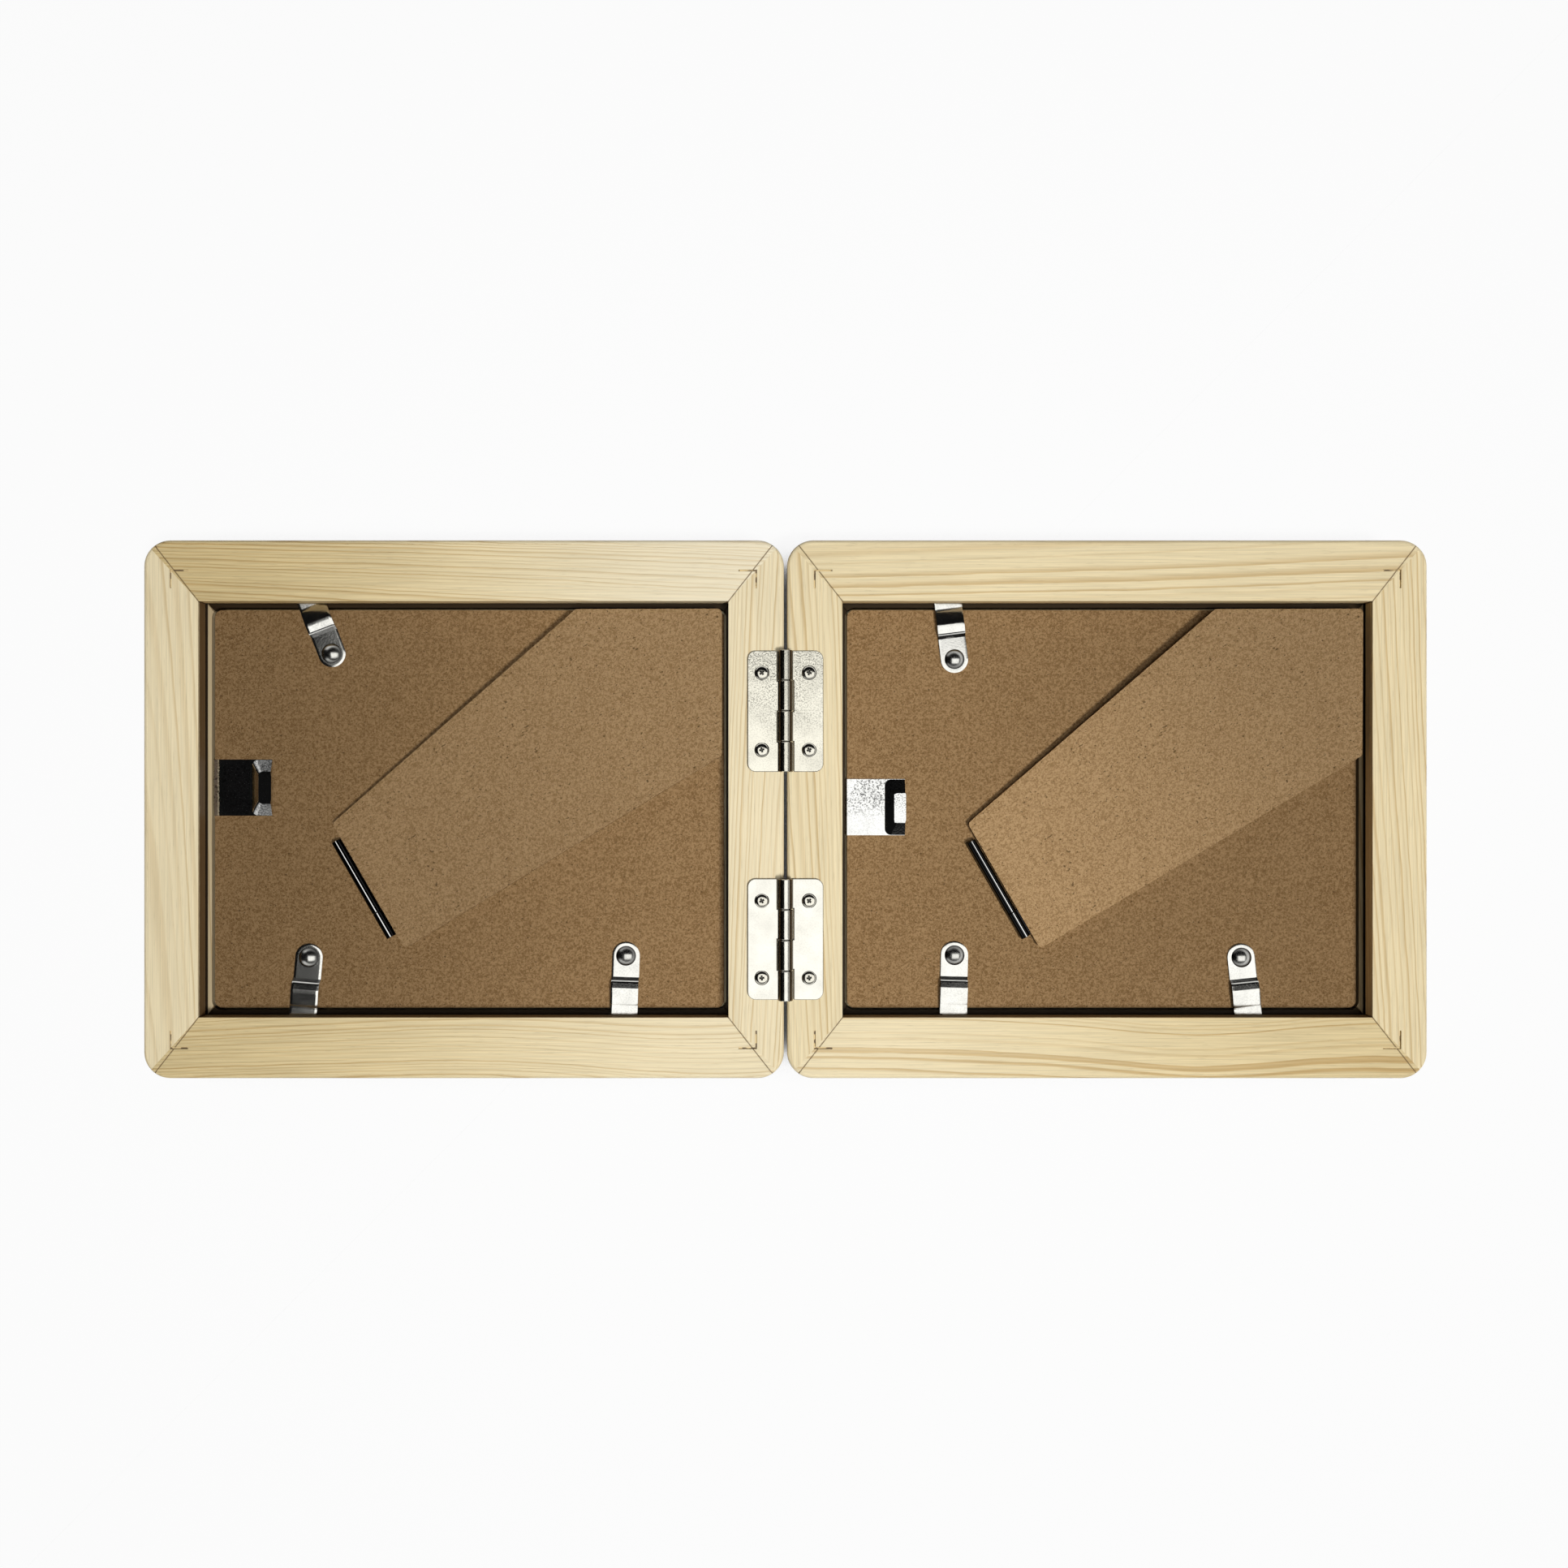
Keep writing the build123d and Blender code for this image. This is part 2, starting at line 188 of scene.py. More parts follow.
def pineFigureGroup():
    tree, get, give = newGroup("pineFigure", {
        "Vector": (0, 0, 0), "Seed": 0.0, "Spacing": 2.0, "Pith Across": 0.0, "Pith Depth": 40.0,
        "Slope": 0.0, "Dive": 0.0, "Waver": 1.0, "Bend Place": 0.0, "Bend Length": 40.0, "Bend Depth": 0.0,
        "Contrast": 0.6, "Spring Wood": (1, 1, 1, 1), "Summer Wood": (1, 1, 1, 1),
    }, ("Color", "Rough", "Height"))
    shifted = vectorCalc("ADD", get["Vector"], after("CombineXYZ", {0: get["Seed"]}))
    along, across, deep = split(get["Vector"])
    drift = sway(noise(shifted, **rings["drift"]), get["Waver"])
    ripple = sway(noise(shifted, **rings["ripple"]), rings["rippleWidth"])
    fromBend = calc("DIVIDE", minus(along, get["Bend Place"]), get["Bend Length"])
    swell = calc("EXPONENT", times(times(fromBend, fromBend), -1.0))
    sideways = plus(minus(across, get["Pith Across"]), times(along, get["Slope"]),
                    drift, ripple, times(swell, get["Bend Depth"]))
    below = plus(deep, get["Pith Depth"], times(along, get["Dive"]))
    radius = vectorCalc("LENGTH", after("CombineXYZ", {0: sideways, 1: below})).node.outputs["Value"]
    uneven = noise(after("CombineXYZ", {0: radius, 1: get["Seed"]}), **rings["uneven"])
    count = plus(calc("DIVIDE", radius, get["Spacing"]), times(uneven, rings["unevenRings"]))
    ringSeed = after("CombineXYZ", {0: calc("FLOOR", count), 1: get["Seed"]})
    ringStrength = after("TexWhiteNoise", {"Vector": ringSeed}, noise_dimensions="3D")
    ringStrength = stretch(ringStrength, *rings["ringStrength"])
    summer = times(band(calc("FRACT", count), rings["summer"]), ringStrength)
    fibre = noise(shifted, **rings["fibre"])
    pores = stretch(noise(shifted, **rings["pores"]), *rings["poreRange"])
    patch = sway(noise(shifted, **rings["patch"]), rings["patchShade"])
    wood = blend(times(summer, get["Contrast"]), get["Spring Wood"], get["Summer Wood"])
    shade = plus(stretch(fibre, *rings["fibreShade"]), patch)
    shade = minus(shade, times(pores, rings["poreShade"]))
    height = minus(times(summer, rings["summerHeight"]), times(pores, rings["poreDepth"]))
    height = plus(height, times(fibre, rings["fibreHeight"]))
    wire(give, Color=scaled(wood, shade), Rough=stretch(fibre, *rings["rough"]), Height=height)
    return tree


# The ragged dark line where two rails meet, and painted shade and painted light on the wood inside a frame's
# opening

mitreGap = {"ragged": 0.7, "raggedWidth": 0.25, "edge": (0.3, 1.3)}
rebate = {  # mm past the opening's edge, and heights from the frame's back
    "past": (0.25, 0.4), "ragged": 0.5, "raggedHeight": 0.6, "below": (-1.3, -0.2), "lip": (-14.9, -14.6),
    "ledge": (-8.9, -7.5), "groovePast": (0.1, 0.3, 5.0, 6.0), "groove": (-9.4, -9.1, -6.4, -6.0),
}


def pastEdge(vector, edge):  # how far a spot lies past an edge, the same on all sides of a frame's middle
    return vectorCalc("SUBTRACT", vectorCalc("ABSOLUTE", vector), edge)


def mitreLineGroup():
    tree, get, give = newGroup("mitreLine", {
        "Vector": (0, 0, 0), "Corner": (0, 0, 0), "Direction": (1, 0, 0), "Width": 0.2,
    }, ("Mask",))
    distance = vectorCalc("DOT_PRODUCT", pastEdge(get["Vector"], get["Corner"]), get["Direction"])
    distance = calc("ABSOLUTE", distance.node.outputs["Value"])
    ragged = sway(noise(get["Vector"], mitreGap["ragged"]), mitreGap["raggedWidth"])
    distance = calc("DIVIDE", minus(distance, ragged), get["Width"])
    wire(give, Mask=fade(distance, mitreGap["edge"]))
    return tree


# painted shade: masks for a frame's opening, for its inner wall below the back edge, the ledge the board
# lies in and the groove under the lip
def rebateShadeGroup():
    tree, get, give = newGroup("rebateShade", {
        "Vector": (0, 0, 0), "Opening": (1, 1, 0),
    }, ("Mask", "Ledge", "Groove"))
    past = split(pastEdge(get["Vector"], get["Opening"]))
    past = calc("MAXIMUM", past[0], past[1])
    height = split(get["Vector"])[2]
    ragged = times(noise(get["Vector"], rebate["ragged"]), rebate["raggedHeight"])
    below = fade(plus(height, ragged), rebate["below"])
    below = times(below, stretch(height, *rebate["lip"]))  # the front lip gets no painted shade
    groove = times(band(past, rebate["groovePast"]), band(height, rebate["groove"]))
    mask = times(fade(past, rebate["past"]), below)
    ledge = fade(height, rebate["ledge"])  # the step that the board lies in
    wire(give, Mask=mask, Ledge=ledge, Groove=groove)
    return tree


# Hardboard: a fine felt with short bent fibres, dark ones and pale ones, and a few flecks

felt = {
    "fine": dict(scale=1.2, detail=4.0, rough=0.66, swirl=0.8), "rough": (0.3, 0.7, 0.62, 0.78),
    "broken": dict(scale=0.45, detail=1.0), "brokenRange": (0.42, 0.58),
    "curls": (((0.55, 0.55, 0.55), -0.19), ((0.7, 0.62, 0.6), 0.15)),  # each kind's scale and paleness
    "curl": dict(detail=1.0, swirl=1.4), "curlWidth": (0.012, 0.06),
    "toneRange": (0.395, 0.59), "cloud": dict(scale=0.04), "cloudShare": 0.2,
    "flecks": dict(scale=(1.1, 1.5, 1.3), detail=0.0), "fleckRange": (0.74, 0.8),
    "fleckShare": 0.75, "fleckDepth": 0.3,
}


def boardFibreGroup():
    tree, get, give = newGroup("boardFibre", {
        "Vector": (0, 0, 0), "Pale": (1, 1, 1, 1), "Dark": (0, 0, 0, 1), "Fleck": (0, 0, 0, 1),
    }, ("Color", "Rough", "Height"))
    fine = noise(get["Vector"], **felt["fine"])
    broken = stretch(noise(get["Vector"], **felt["broken"]), *felt["brokenRange"])
    mix = fine
    for scale, paleness in felt["curls"]:
        level = noise(get["Vector"], scale, **felt["curl"])
        line = calc("ABSOLUTE", minus(level, 0.5))
        curl = times(fade(line, felt["curlWidth"]), broken)
        mix = plus(mix, times(curl, paleness))
    cloud = noise(get["Vector"], **felt["cloud"])
    tone = times(stretch(mix, *felt["toneRange"]), 1 - felt["cloudShare"])
    tone = plus(tone, times(cloud, felt["cloudShare"]))
    flecks = stretch(noise(get["Vector"], **felt["flecks"]), *felt["fleckRange"])
    color = blend(tone, get["Dark"], get["Pale"])
    color = blend(times(flecks, felt["fleckShare"]), color, get["Fleck"])
    height = minus(mix, times(flecks, felt["fleckDepth"]))
    wire(give, Color=color, Rough=stretch(fine, *felt["rough"]), Height=height)
    return tree


# Plating: an uneven skin with dull clouds, fine scratches and a speckle of grit

skin = {
    "peel": dict(scale=1.5, rough=0.55), "cloud": dict(scale=0.16, detail=3.0),
    "scratch": dict(scale=(0.15, 5.0, 1.0)), "scratchRange": (0.63, 0.72), "scratchDepth": 0.03,
    "dulled": (0.35, 0.75, 0.0, 0.5), "scratchDull": 0.2, "stained": (0.3, 0.8, 1.0, 0.86),
    "grit": dict(scale=1.9, detail=3.0, rough=0.6), "gritRange": (0.47, 0.61),
    "worn": dict(scale=0.07), "wornRange": (0.36, 0.62, 0.35, 1.0),
}


def platingGroup():
    tree, get, give = newGroup("plating", {
        "Vector": (0, 0, 0), "Smooth": 0.1, "Dull": 0.3, "Speckle": 0.0,
    }, ("Rough", "Stain", "Height"))
    peel = noise(get["Vector"], **skin["peel"])
    cloud = noise(get["Vector"], **skin["cloud"])
    scratch = stretch(noise(get["Vector"], **skin["scratch"]), *skin["scratchRange"])
    share = plus(stretch(cloud, *skin["dulled"]), times(scratch, skin["scratchDull"]))
    rough = plus(get["Smooth"], times(share, minus(get["Dull"], get["Smooth"])))
    grit = stretch(noise(get["Vector"], **skin["grit"]), *skin["gritRange"])
    worn = stretch(noise(get["Vector"], **skin["worn"]), *skin["wornRange"])
    grit = times(times(grit, worn), get["Speckle"])
    stain = minus(stretch(cloud, *skin["stained"]), grit)
    height = minus(peel, times(scratch, skin["scratchDepth"]))
    wire(give, Rough=rough, Stain=stain, Height=height)
    return tree


pineFigure = pineFigureGroup()
mitreLine = mitreLineGroup()
rebateShade = rebateShadeGroup()
boardFibre = boardFibreGroup()
plating = platingGroup()
print("surface groups made:", len(bpy.data.node_groups))


# Pine rails: one figure each, its grain along the rail. Lengths are in mm from the rail's middle.

# groove: painted shade, the near black of the groove under the opening's lip; the pair that scales a rail's
# colour down by its tone is painted shade
pine = {
    "spring": (0.83, 0.70, 0.44, 1), "summer": (0.55, 0.37, 0.155, 1), "joint": (0.17, 0.105, 0.05, 1),
    "groove": (0.02, 0.013, 0.007, 1), "shine": 0.35, "falloffShade": (0.95, 1.45, 1.0, 0.85), "dive": 0.03,
    "boardGap": 2.0, "grainDepth": 0.00006, "jointWidth": 0.22, "jointShare": 0.8, "jointDepth": 2.0,
    "firstSeed": 11.0, "nextSeed": 37.0,
}
# a plain rail's wall and ledge colours are painted shade: they darken the wood of the opening's inner wall
# and ledge
plainRail = {  # what a rail has unless its own figure says otherwise
    "bend": (0.0, 40.0, 0.0), "wall": (0.46, 0.40, 0.34, 1), "ledge": (0.03, 0.022, 0.015, 1),
}
# painted light: an inner wall lighter than the wood's own colour
paintedLitWall = (1.1, 1.02, 0.9, 1)
railFigures = {  # pith: across and depth; bend: place, length and depth; tone: the gamma at either end, partly the wood's own tone and partly painted light and shade; wall and ledge: painted shade and painted light inside the opening
    "left_top_rail": dict(
        tone=(1.42, 0.68), spacing=0.9, pith=(-26, 34), slope=0.004, waver=2.4, contrast=0.62,
        wall=paintedLitWall),
    "left_bottom_rail": dict(
        tone=(1.33, 0.85), spacing=0.9, pith=(30, 36), slope=-0.01, waver=2.0, contrast=0.62,
        bend=(92, 62, 9)),
    "left_outer_rail": dict(
        tone=(0.9, 0.9), spacing=1.2, pith=(18, 46), slope=0.005, waver=1.2, contrast=0.55,
        wall=(0.2, 0.14, 0.09, 1), ledge=(0.6, 0.56, 0.52, 1)),
    "left_inner_rail": dict(
        tone=(0.85, 0.85), spacing=0.85, pith=(-24, 30), slope=0.006, waver=1.6, contrast=0.75),
    "right_top_rail": dict(
        tone=(1.0, 1.0), spacing=2.6, pith=(24, 22), slope=-0.002, waver=2.2, contrast=0.66,
        wall=paintedLitWall),
    "right_bottom_rail": dict(
        tone=(0.9, 1.25), spacing=3.3, pith=(-30, 26), slope=-0.016, waver=3.0, contrast=0.70,
        bend=(32, 42, 5)),
    "right_outer_rail": dict(
        tone=(1.0, 1.0), spacing=1.25, pith=(22, 30), slope=-0.02, waver=2.6, contrast=0.72,
        wall=paintedLitWall, ledge=(0.4, 0.36, 0.32, 1)),
    "right_inner_rail": dict(
        tone=(0.95, 0.95), spacing=0.9, pith=(20, 34), slope=0.004, waver=1.6, contrast=0.75),
}


def openingHalf(side):  # half of a frame's opening at the back, in mm
    low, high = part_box(side + "_backboard")
    gap = pine["boardGap"]
    return Vector(((high.x - low.x) / 2 / mm + gap, high.y / mm + gap, 0))


def mitreCorner(side):  # a frame's outer corner, the line across its mitres, and the frame's middle
    low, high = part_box(side + "_top_rail")
    corner = Vector(((high.x - low.x) / 2 / mm, high.y / mm, 0))
    along = (corner - openingHalf(side)).normalized()
    return corner, Vector((along.y, -along.x, 0)), (low.x + high.x) / 2


def pineMaterial(name, figure, seed):
    material, tree, shader = newMaterial("pine_" + name, Specular_IOR_Level=pine["shine"])
    side = name.split("_")[0]
    low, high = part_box(name)
    upright = high.y - low.y > high.x - low.x
    centre = ((low.x + high.x) / 2, (low.y + high.y) / 2, high.z)
    grainSpot = inMillimetres(tree, centre, radians(90) if upright else 0.0)
    grain = useGroup(pineFigure, {
        "Vector": grainSpot, "Seed": seed, "Spacing": figure["spacing"], "Slope": figure["slope"],
        "Pith Across": figure["pith"][0], "Pith Depth": figure["pith"][1], "Waver": figure["waver"],
        "Bend Place": figure["bend"][0], "Bend Length": figure["bend"][1], "Bend Depth": figure["bend"][2],
        "Contrast": figure["contrast"], "Dive": pine["dive"],
        "Spring Wood": pine["spring"], "Summer Wood": pine["summer"],
    })
    corner, direction, middle = mitreCorner(side)
    joint = useGroup(mitreLine, {
        "Vector": inMillimetres(tree, (middle, 0, 0)), "Corner": corner, "Direction": direction,
        "Width": pine["jointWidth"],
    })["Mask"]
    inside = useGroup(rebateShade, {
        "Vector": inMillimetres(tree, (middle, 0, high.z)), "Opening": openingHalf(side),
    })
    half = max(high.x - low.x, high.y - low.y) / 2 / mm
    # the tone's gamma at either end of a rail is partly the wood's own tone and partly painted light and
    # shade for how the light falls off across the pair; where it darkens, the colour is also scaled down,
    # which is painted shade
    tone = stretch(split(grainSpot)[0], -half, half, *figure["tone"])
    color = after("Gamma", {"Color": grain["Color"], "Gamma": tone})
    color = scaled(color, stretch(tone, *pine["falloffShade"]))
    color = blend(times(joint, pine["jointShare"]), color, pine["joint"])
    # painted shade and painted light: the wall and ledge colours multiply the wood inside the opening, and
    # the groove is painted near black as shade
    dustAndPaintedLight = blend(inside["Ledge"], figure["wall"], figure["ledge"])
    color = blend(inside["Mask"], color, blend(1.0, color, dustAndPaintedLight, "MULTIPLY"))
    color = blend(inside["Groove"], color, pine["groove"])
    height = minus(grain["Height"], times(joint, pine["jointDepth"]))
    wire(shader, Base_Color=color, Roughness=grain["Rough"], Normal=bump(height, pine["grainDepth"]))
    return material


def dress(name, material):
    data = nodes[name].data
    data.materials.clear()
    data.materials.append(material)


for count, (name, figure) in enumerate(railFigures.items()):
    seed = pine["firstSeed"] + pine["nextSeed"] * count
    dress(name, pineMaterial(name, dict(plainRail, **figure), seed))
print("rails dressed:", len(railFigures))


# Hardboard backs and struts

boardTones = {  # each board's pair of end values is painted light: how bright a board is at its left and right end, brighter towards the middle of the pair
    "backboard": dict(pale=(0.30, 0.19, 0.092, 1), dark=(0.15, 0.084, 0.033, 1), turn=0,
                      paintedFalloff={"left": (0.83, 1.2), "right": (1.2, 0.96)}),
    "strut": dict(pale=(0.355, 0.233, 0.118, 1), dark=(0.205, 0.123, 0.054, 1), turn=30,
                  paintedFalloff={"left": (0.93, 1.08), "right": (1.36, 0.98)}),
}
boardSurface = {"fleck": (0.055, 0.031, 0.014, 1), "depth": 0.00008, "shine": 0.12}


def hardboardMaterial(side, kind):
    name, tones = side + "_" + kind, boardTones[kind]
    low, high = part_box(name)
    half = (high.x - low.x) / 2 / mm
    material, tree, shader = newMaterial("hardboard_" + name, Specular_IOR_Level=boardSurface["shine"])
    spot = inMillimetres(tree, (low + high) / 2, radians(tones["turn"]))
    fibre = useGroup(boardFibre, {
        "Vector": spot, "Pale": tones["pale"], "Dark": tones["dark"], "Fleck": boardSurface["fleck"],
    })
    # painted light: the board is brighter towards the middle of the pair
    paintedFalloff = stretch(split(spot)[0], -half, half, *tones["paintedFalloff"][side])
    wire(shader, Base_Color=scaled(fibre["Color"], paintedFalloff), Roughness=fibre["Rough"],
         Normal=bump(fibre["Height"], boardSurface["depth"]))
    return material


for side in sides:
    for kind in boardTones:
        dress(side + "_" + kind, hardboardMaterial(side, kind))
print("boards dressed")


# Metals, glass and paper

metalFinishes = {  # in mm: painted shade darkens a part below the given heights, and the speckle fades in along Y
    "clipPlate": dict(color=(0.86, 0.85, 0.81, 1), smooth=0.12, dull=0.18, peel=0.000009, speckle=0.1),
    "rivetPlate": dict(color=(0.80, 0.79, 0.75, 1), smooth=0.2, dull=0.3, peel=0.000006, speckle=0.1,
                       paintedShadeBelow=(11.45, 12.35)),
    "hangerPlate": dict(color=(0.88, 0.88, 0.87, 1), smooth=0.05, dull=0.06, peel=0.000008, speckle=0.75,
                        fade=(-6, 4)),
    "hingePlate": dict(color=(0.88, 0.86, 0.79, 1), smooth=0.06, dull=0.1, peel=0.000014, speckle=0.06,
                       barrel=0.2, paintedShadeBelow=(20.78, 20.985)),
    "wornHingePlate": dict(color=(0.82, 0.79, 0.69, 1), smooth=0.08, dull=0.14, peel=0.000024, speckle=0.6,
                           barrel=0.2, paintedShadeBelow=(20.78, 20.985), fade=(14, 46)),
    "screwPlate": dict(color=(0.80, 0.77, 0.68, 1), smooth=0.1, dull=0.18, peel=0.000006, speckle=0.1,
                       paintedShadeBelow=(20.85, 21.02)),
    "polishedBlack": dict(color=(0.02, 0.02, 0.021, 1), smooth=0.08, dull=0.14, peel=0.000004, speckle=0.0),
    "nailSteel": dict(color=(0.2, 0.14, 0.08, 1), smooth=0.35, dull=0.6, peel=0.00002, speckle=0.3,
                      metal=0.0, dust=(0.75, 0.6, 0.33, 1)),
    "pinSteel": dict(color=(0.06, 0.055, 0.045, 1), smooth=0.2, dull=0.35, peel=0.00001, speckle=0.3),
}
# this holds real dust, a flank colour for the barrels that is partly tarnish and partly painted shade, the
# strength of the painted shade below given heights, and a painted highlight along the black barrel's crest
wearAndPaintedLight = {  # places are in mm from the middle of a barrel
    "barrelEdge": (2.5, 2.8), "speckleFrom": (2.7, 3.2), "flank": (0.85, 1.5), "fadedShare": 0.2,
    "tarnishAndShade": (0.17, 0.13, 0.085, 1), "paintedShadeLevel": 0.1, "dust": dict(scale=0.4, detail=1.0),
    "dustRange": (0.4, 0.5), "crestPlace": 0.25, "crestWidth": (0.05, 0.3), "paintedHighlight": (0.8, 0.8, 0.79, 1),
}


def metalMaterial(name, finish):
    material, tree, shader = newMaterial(name, Metallic=finish.get("metal", 1.0))
    spot = inMillimetres(tree)
    place = split(spot)
    aside = calc("ABSOLUTE", place[0])
    speckle = finish["speckle"]
    if "fade" in finish:
        speckle = stretch(place[1], *finish["fade"], speckle * wearAndPaintedLight["fadedShare"], speckle)
    if "barrel" in finish:
        speckle = times(stretch(aside, *wearAndPaintedLight["speckleFrom"]), speckle)
    marks = useGroup(plating, {
        "Vector": spot, "Smooth": finish["smooth"], "Dull": finish["dull"], "Speckle": speckle,
    })
    tone = scaled(finish["color"][:3], marks["Stain"])
    rough = marks["Rough"]
    if "barrel" in finish:  # the rolled knuckles are duller than the leaves, and darker on their flanks: partly tarnish, partly painted shade
        onBarrel = fade(aside, wearAndPaintedLight["barrelEdge"])
        rough = calc("MAXIMUM", rough, times(onBarrel, finish["barrel"]))
        flank = times(onBarrel, stretch(aside, *wearAndPaintedLight["flank"]))
        tone = blend(flank, tone, wearAndPaintedLight["tarnishAndShade"])
    # painted shade: a part is darker below the given heights, at the rivet's rim, the hinge leaf's edges and
    # the screw head's rim
    if "paintedShadeBelow" in finish:
        tone = scaled(tone, stretch(place[2], *finish["paintedShadeBelow"], wearAndPaintedLight["paintedShadeLevel"], 1.0))
    if "dust" in finish:  # wood dust lies in the slits in places
        dustAndPaintedLight = stretch(noise(spot, **wearAndPaintedLight["dust"]), *wearAndPaintedLight["dustRange"])
        tone = blend(dustAndPaintedLight, tone, finish["dust"])
    if "crest" in finish:  # painted highlight: a bright steel-coloured line along the top of the black barrel
        across = vectorCalc("SUBTRACT", spot, finish["crest"])
        across = vectorCalc("DOT_PRODUCT", across, finish["way"]).node.outputs["Value"]
        fromCrest = calc("ABSOLUTE", minus(across, wearAndPaintedLight["crestPlace"]))
        tone = blend(fade(fromCrest, wearAndPaintedLight["crestWidth"]), tone, wearAndPaintedLight["paintedHighlight"])
    wire(shader, Base_Color=tone, Roughness=rough, Normal=bump(marks["Height"], finish["peel"]))
    return material


metals = {name: metalMaterial(name, finish) for name, finish in metalFinishes.items()}

pictureGlass = {
    "index": 1.5, "smear": dict(scale=0.02, detail=3.0), "rough": (0.3, 0.8, 0.0, 0.035),
    "tints": ((0.93, 0.97, 0.95, 1), (0.97, 0.98, 0.97, 1)),
}


def glassMaterial():
    material, tree, shader = newMaterial("picture_glass", Transmission_Weight=1.0, IOR=pictureGlass["index"])
    smear = noise(inMillimetres(tree), **pictureGlass["smear"])
    wire(shader, Roughness=stretch(smear, *pictureGlass["rough"]),
         Base_Color=blend(smear, *pictureGlass["tints"]))
    onShadow = put(tree, "LightPath").node.outputs["Is Shadow Ray"]  # light gets through to the print
    mixed = put(tree, "MixShader", {0: onShadow, 1: tree.nodes["Principled BSDF"].outputs[0],
                                    2: put(tree, "BsdfTransparent")})
    wire(tree.nodes["Material Output"].inputs, Surface=mixed)
    return material


blankPaper = {
    "pulp": dict(scale=1.6, detail=4.0, rough=0.6), "pulpRange": (0.3, 0.7), "rough": (0.3, 0.7, 0.55, 0.7),
    "tints": ((0.70, 0.68, 0.62, 1), (0.77, 0.75, 0.70, 1)), "depth": 0.00002, "shine": 0.35,
    "cloud": dict(scale=0.05), "cloudShare": 0.15, "cloudTint": (0.68, 0.64, 0.55, 1),
}


def paperMaterial():
    material, tree, shader = newMaterial("blank_paper", Specular_IOR_Level=blankPaper["shine"])
    spot = inMillimetres(tree)
    pulp = noise(spot, **blankPaper["pulp"])
    cloud = times(noise(spot, **blankPaper["cloud"]), blankPaper["cloudShare"])
    tone = blend(stretch(pulp, *blankPaper["pulpRange"]), *blankPaper["tints"])
    wire(shader, Base_Color=blend(cloud, tone, blankPaper["cloudTint"]),
         Roughness=stretch(pulp, *blankPaper["rough"]), Normal=bump(pulp, blankPaper["depth"]))
    return material


glass, paper = glassMaterial(), paperMaterial()
keptSolids = {  # rails and boards have theirs, and the other nodes are modelled again below
    "_print_sheet": paper, "_v_nails": metals["nailSteel"],
    "er_hinge_pin": metals["pinSteel"], "_strut_hinge_pin": metals["polishedBlack"],
}
for name in nodes:
    for ending, material in keptSolids.items():
        if name.endswith(ending):
            dress(name, material)
print("metals, glass and paper dressed")


# Modelling helpers: a piece is shaped in millimetres round its own origin, then put in place in metres

near = 0.01  # a corner this close to a line lies on it
nearly = 0.97  # the share of a full reach that is its far end


def selectNone():
    bpy.ops.object.select_all(action="DESELECT")


def pick(kind, test, more=False):  # selects the parts whose corners and middle pass the test
    bpy.ops.mesh.select_mode(type=kind)
    if not more:
        bpy.ops.mesh.select_all(action="DESELECT")
    data = bpy.context.object.data
    mesh = bmesh.from_edit_mesh(data)
    for part in {"VERT": mesh.verts, "EDGE": mesh.edges, "FACE": mesh.faces}[kind]:
        spots = [corner.co for corner in ([part] if kind == "VERT" else part.verts)]
        spots.append(sum(spots, Vector()) / len(spots))
        if all(test(spot) for spot in spots):
            part.select_set(True)
    mesh.select_flush_mode()
    bmesh.update_edit_mesh(data)


def startEdit():  # fixes the selected piece's place and size, and opens it with all of it selected
    bpy.ops.object.transform_apply()
    bpy.ops.object.mode_set(mode="EDIT")
    bpy.ops.mesh.select_all(action="SELECT")
    return bpy.context.object


def startSheet(low, high, level):  # a flat sheet between two corners, left in edit mode
    middle = ((low[0] + high[0]) / 2, (low[1] + high[1]) / 2, level)
    selectNone()
    bpy.ops.mesh.primitive_plane_add(size=1, location=middle)
    bpy.context.object.scale = (high[0] - low[0], high[1] - low[1], 1)
    return startEdit()


def drawOut(step):
    bpy.ops.mesh.extrude_region_move(TRANSFORM_OT_translate={"value": step})


def roundOff(width, segments, kind="EDGES"):
    bpy.ops.mesh.bevel(offset=width, segments=segments, affect=kind)


def resize(shares, centre=(0, 0, 0)):
    bpy.ops.transform.resize(value=shares, center_override=centre)


def cutAcross(along):  # a line of edges right across the piece
    bpy.ops.mesh.select_all(action="SELECT")
    bpy.ops.mesh.bisect(plane_co=(0, along, 0), plane_no=(0, 1, 0))


def shape(piece, kind, **settings):  # adds a modifier and applies it
    bpy.context.view_layer.objects.active = piece
    modifier = piece.modifiers.new(kind, kind)
    for key, value in settings.items():
        setattr(modifier, key, value)
    bpy.ops.object.modifier_apply(modifier=modifier.name)


def thicken(piece, thickness, offset=0.0):
    shape(piece, "SOLIDIFY", thickness=thickness, offset=offset, use_even_offset=True)


def cutAway(piece, tool):
    shape(piece, "BOOLEAN", operation="DIFFERENCE", solver="EXACT", object=tool)
    bpy.data.objects.remove(tool)


def leaveEdit():  # joins what was drawn, faces outwards
    bpy.ops.mesh.select_all(action="SELECT")
    bpy.ops.mesh.remove_doubles(threshold=0.002)
    bpy.ops.mesh.normals_make_consistent(inside=False)
    bpy.ops.object.mode_set(mode="OBJECT")
    bpy.ops.object.shade_smooth()


def softenEdges(piece, width, segments, above):
    shape(piece, "BEVEL", width=width, segments=segments, limit_method="ANGLE", angle_limit=radians(above),
          use_clamp_overlap=True, harden_normals=True)


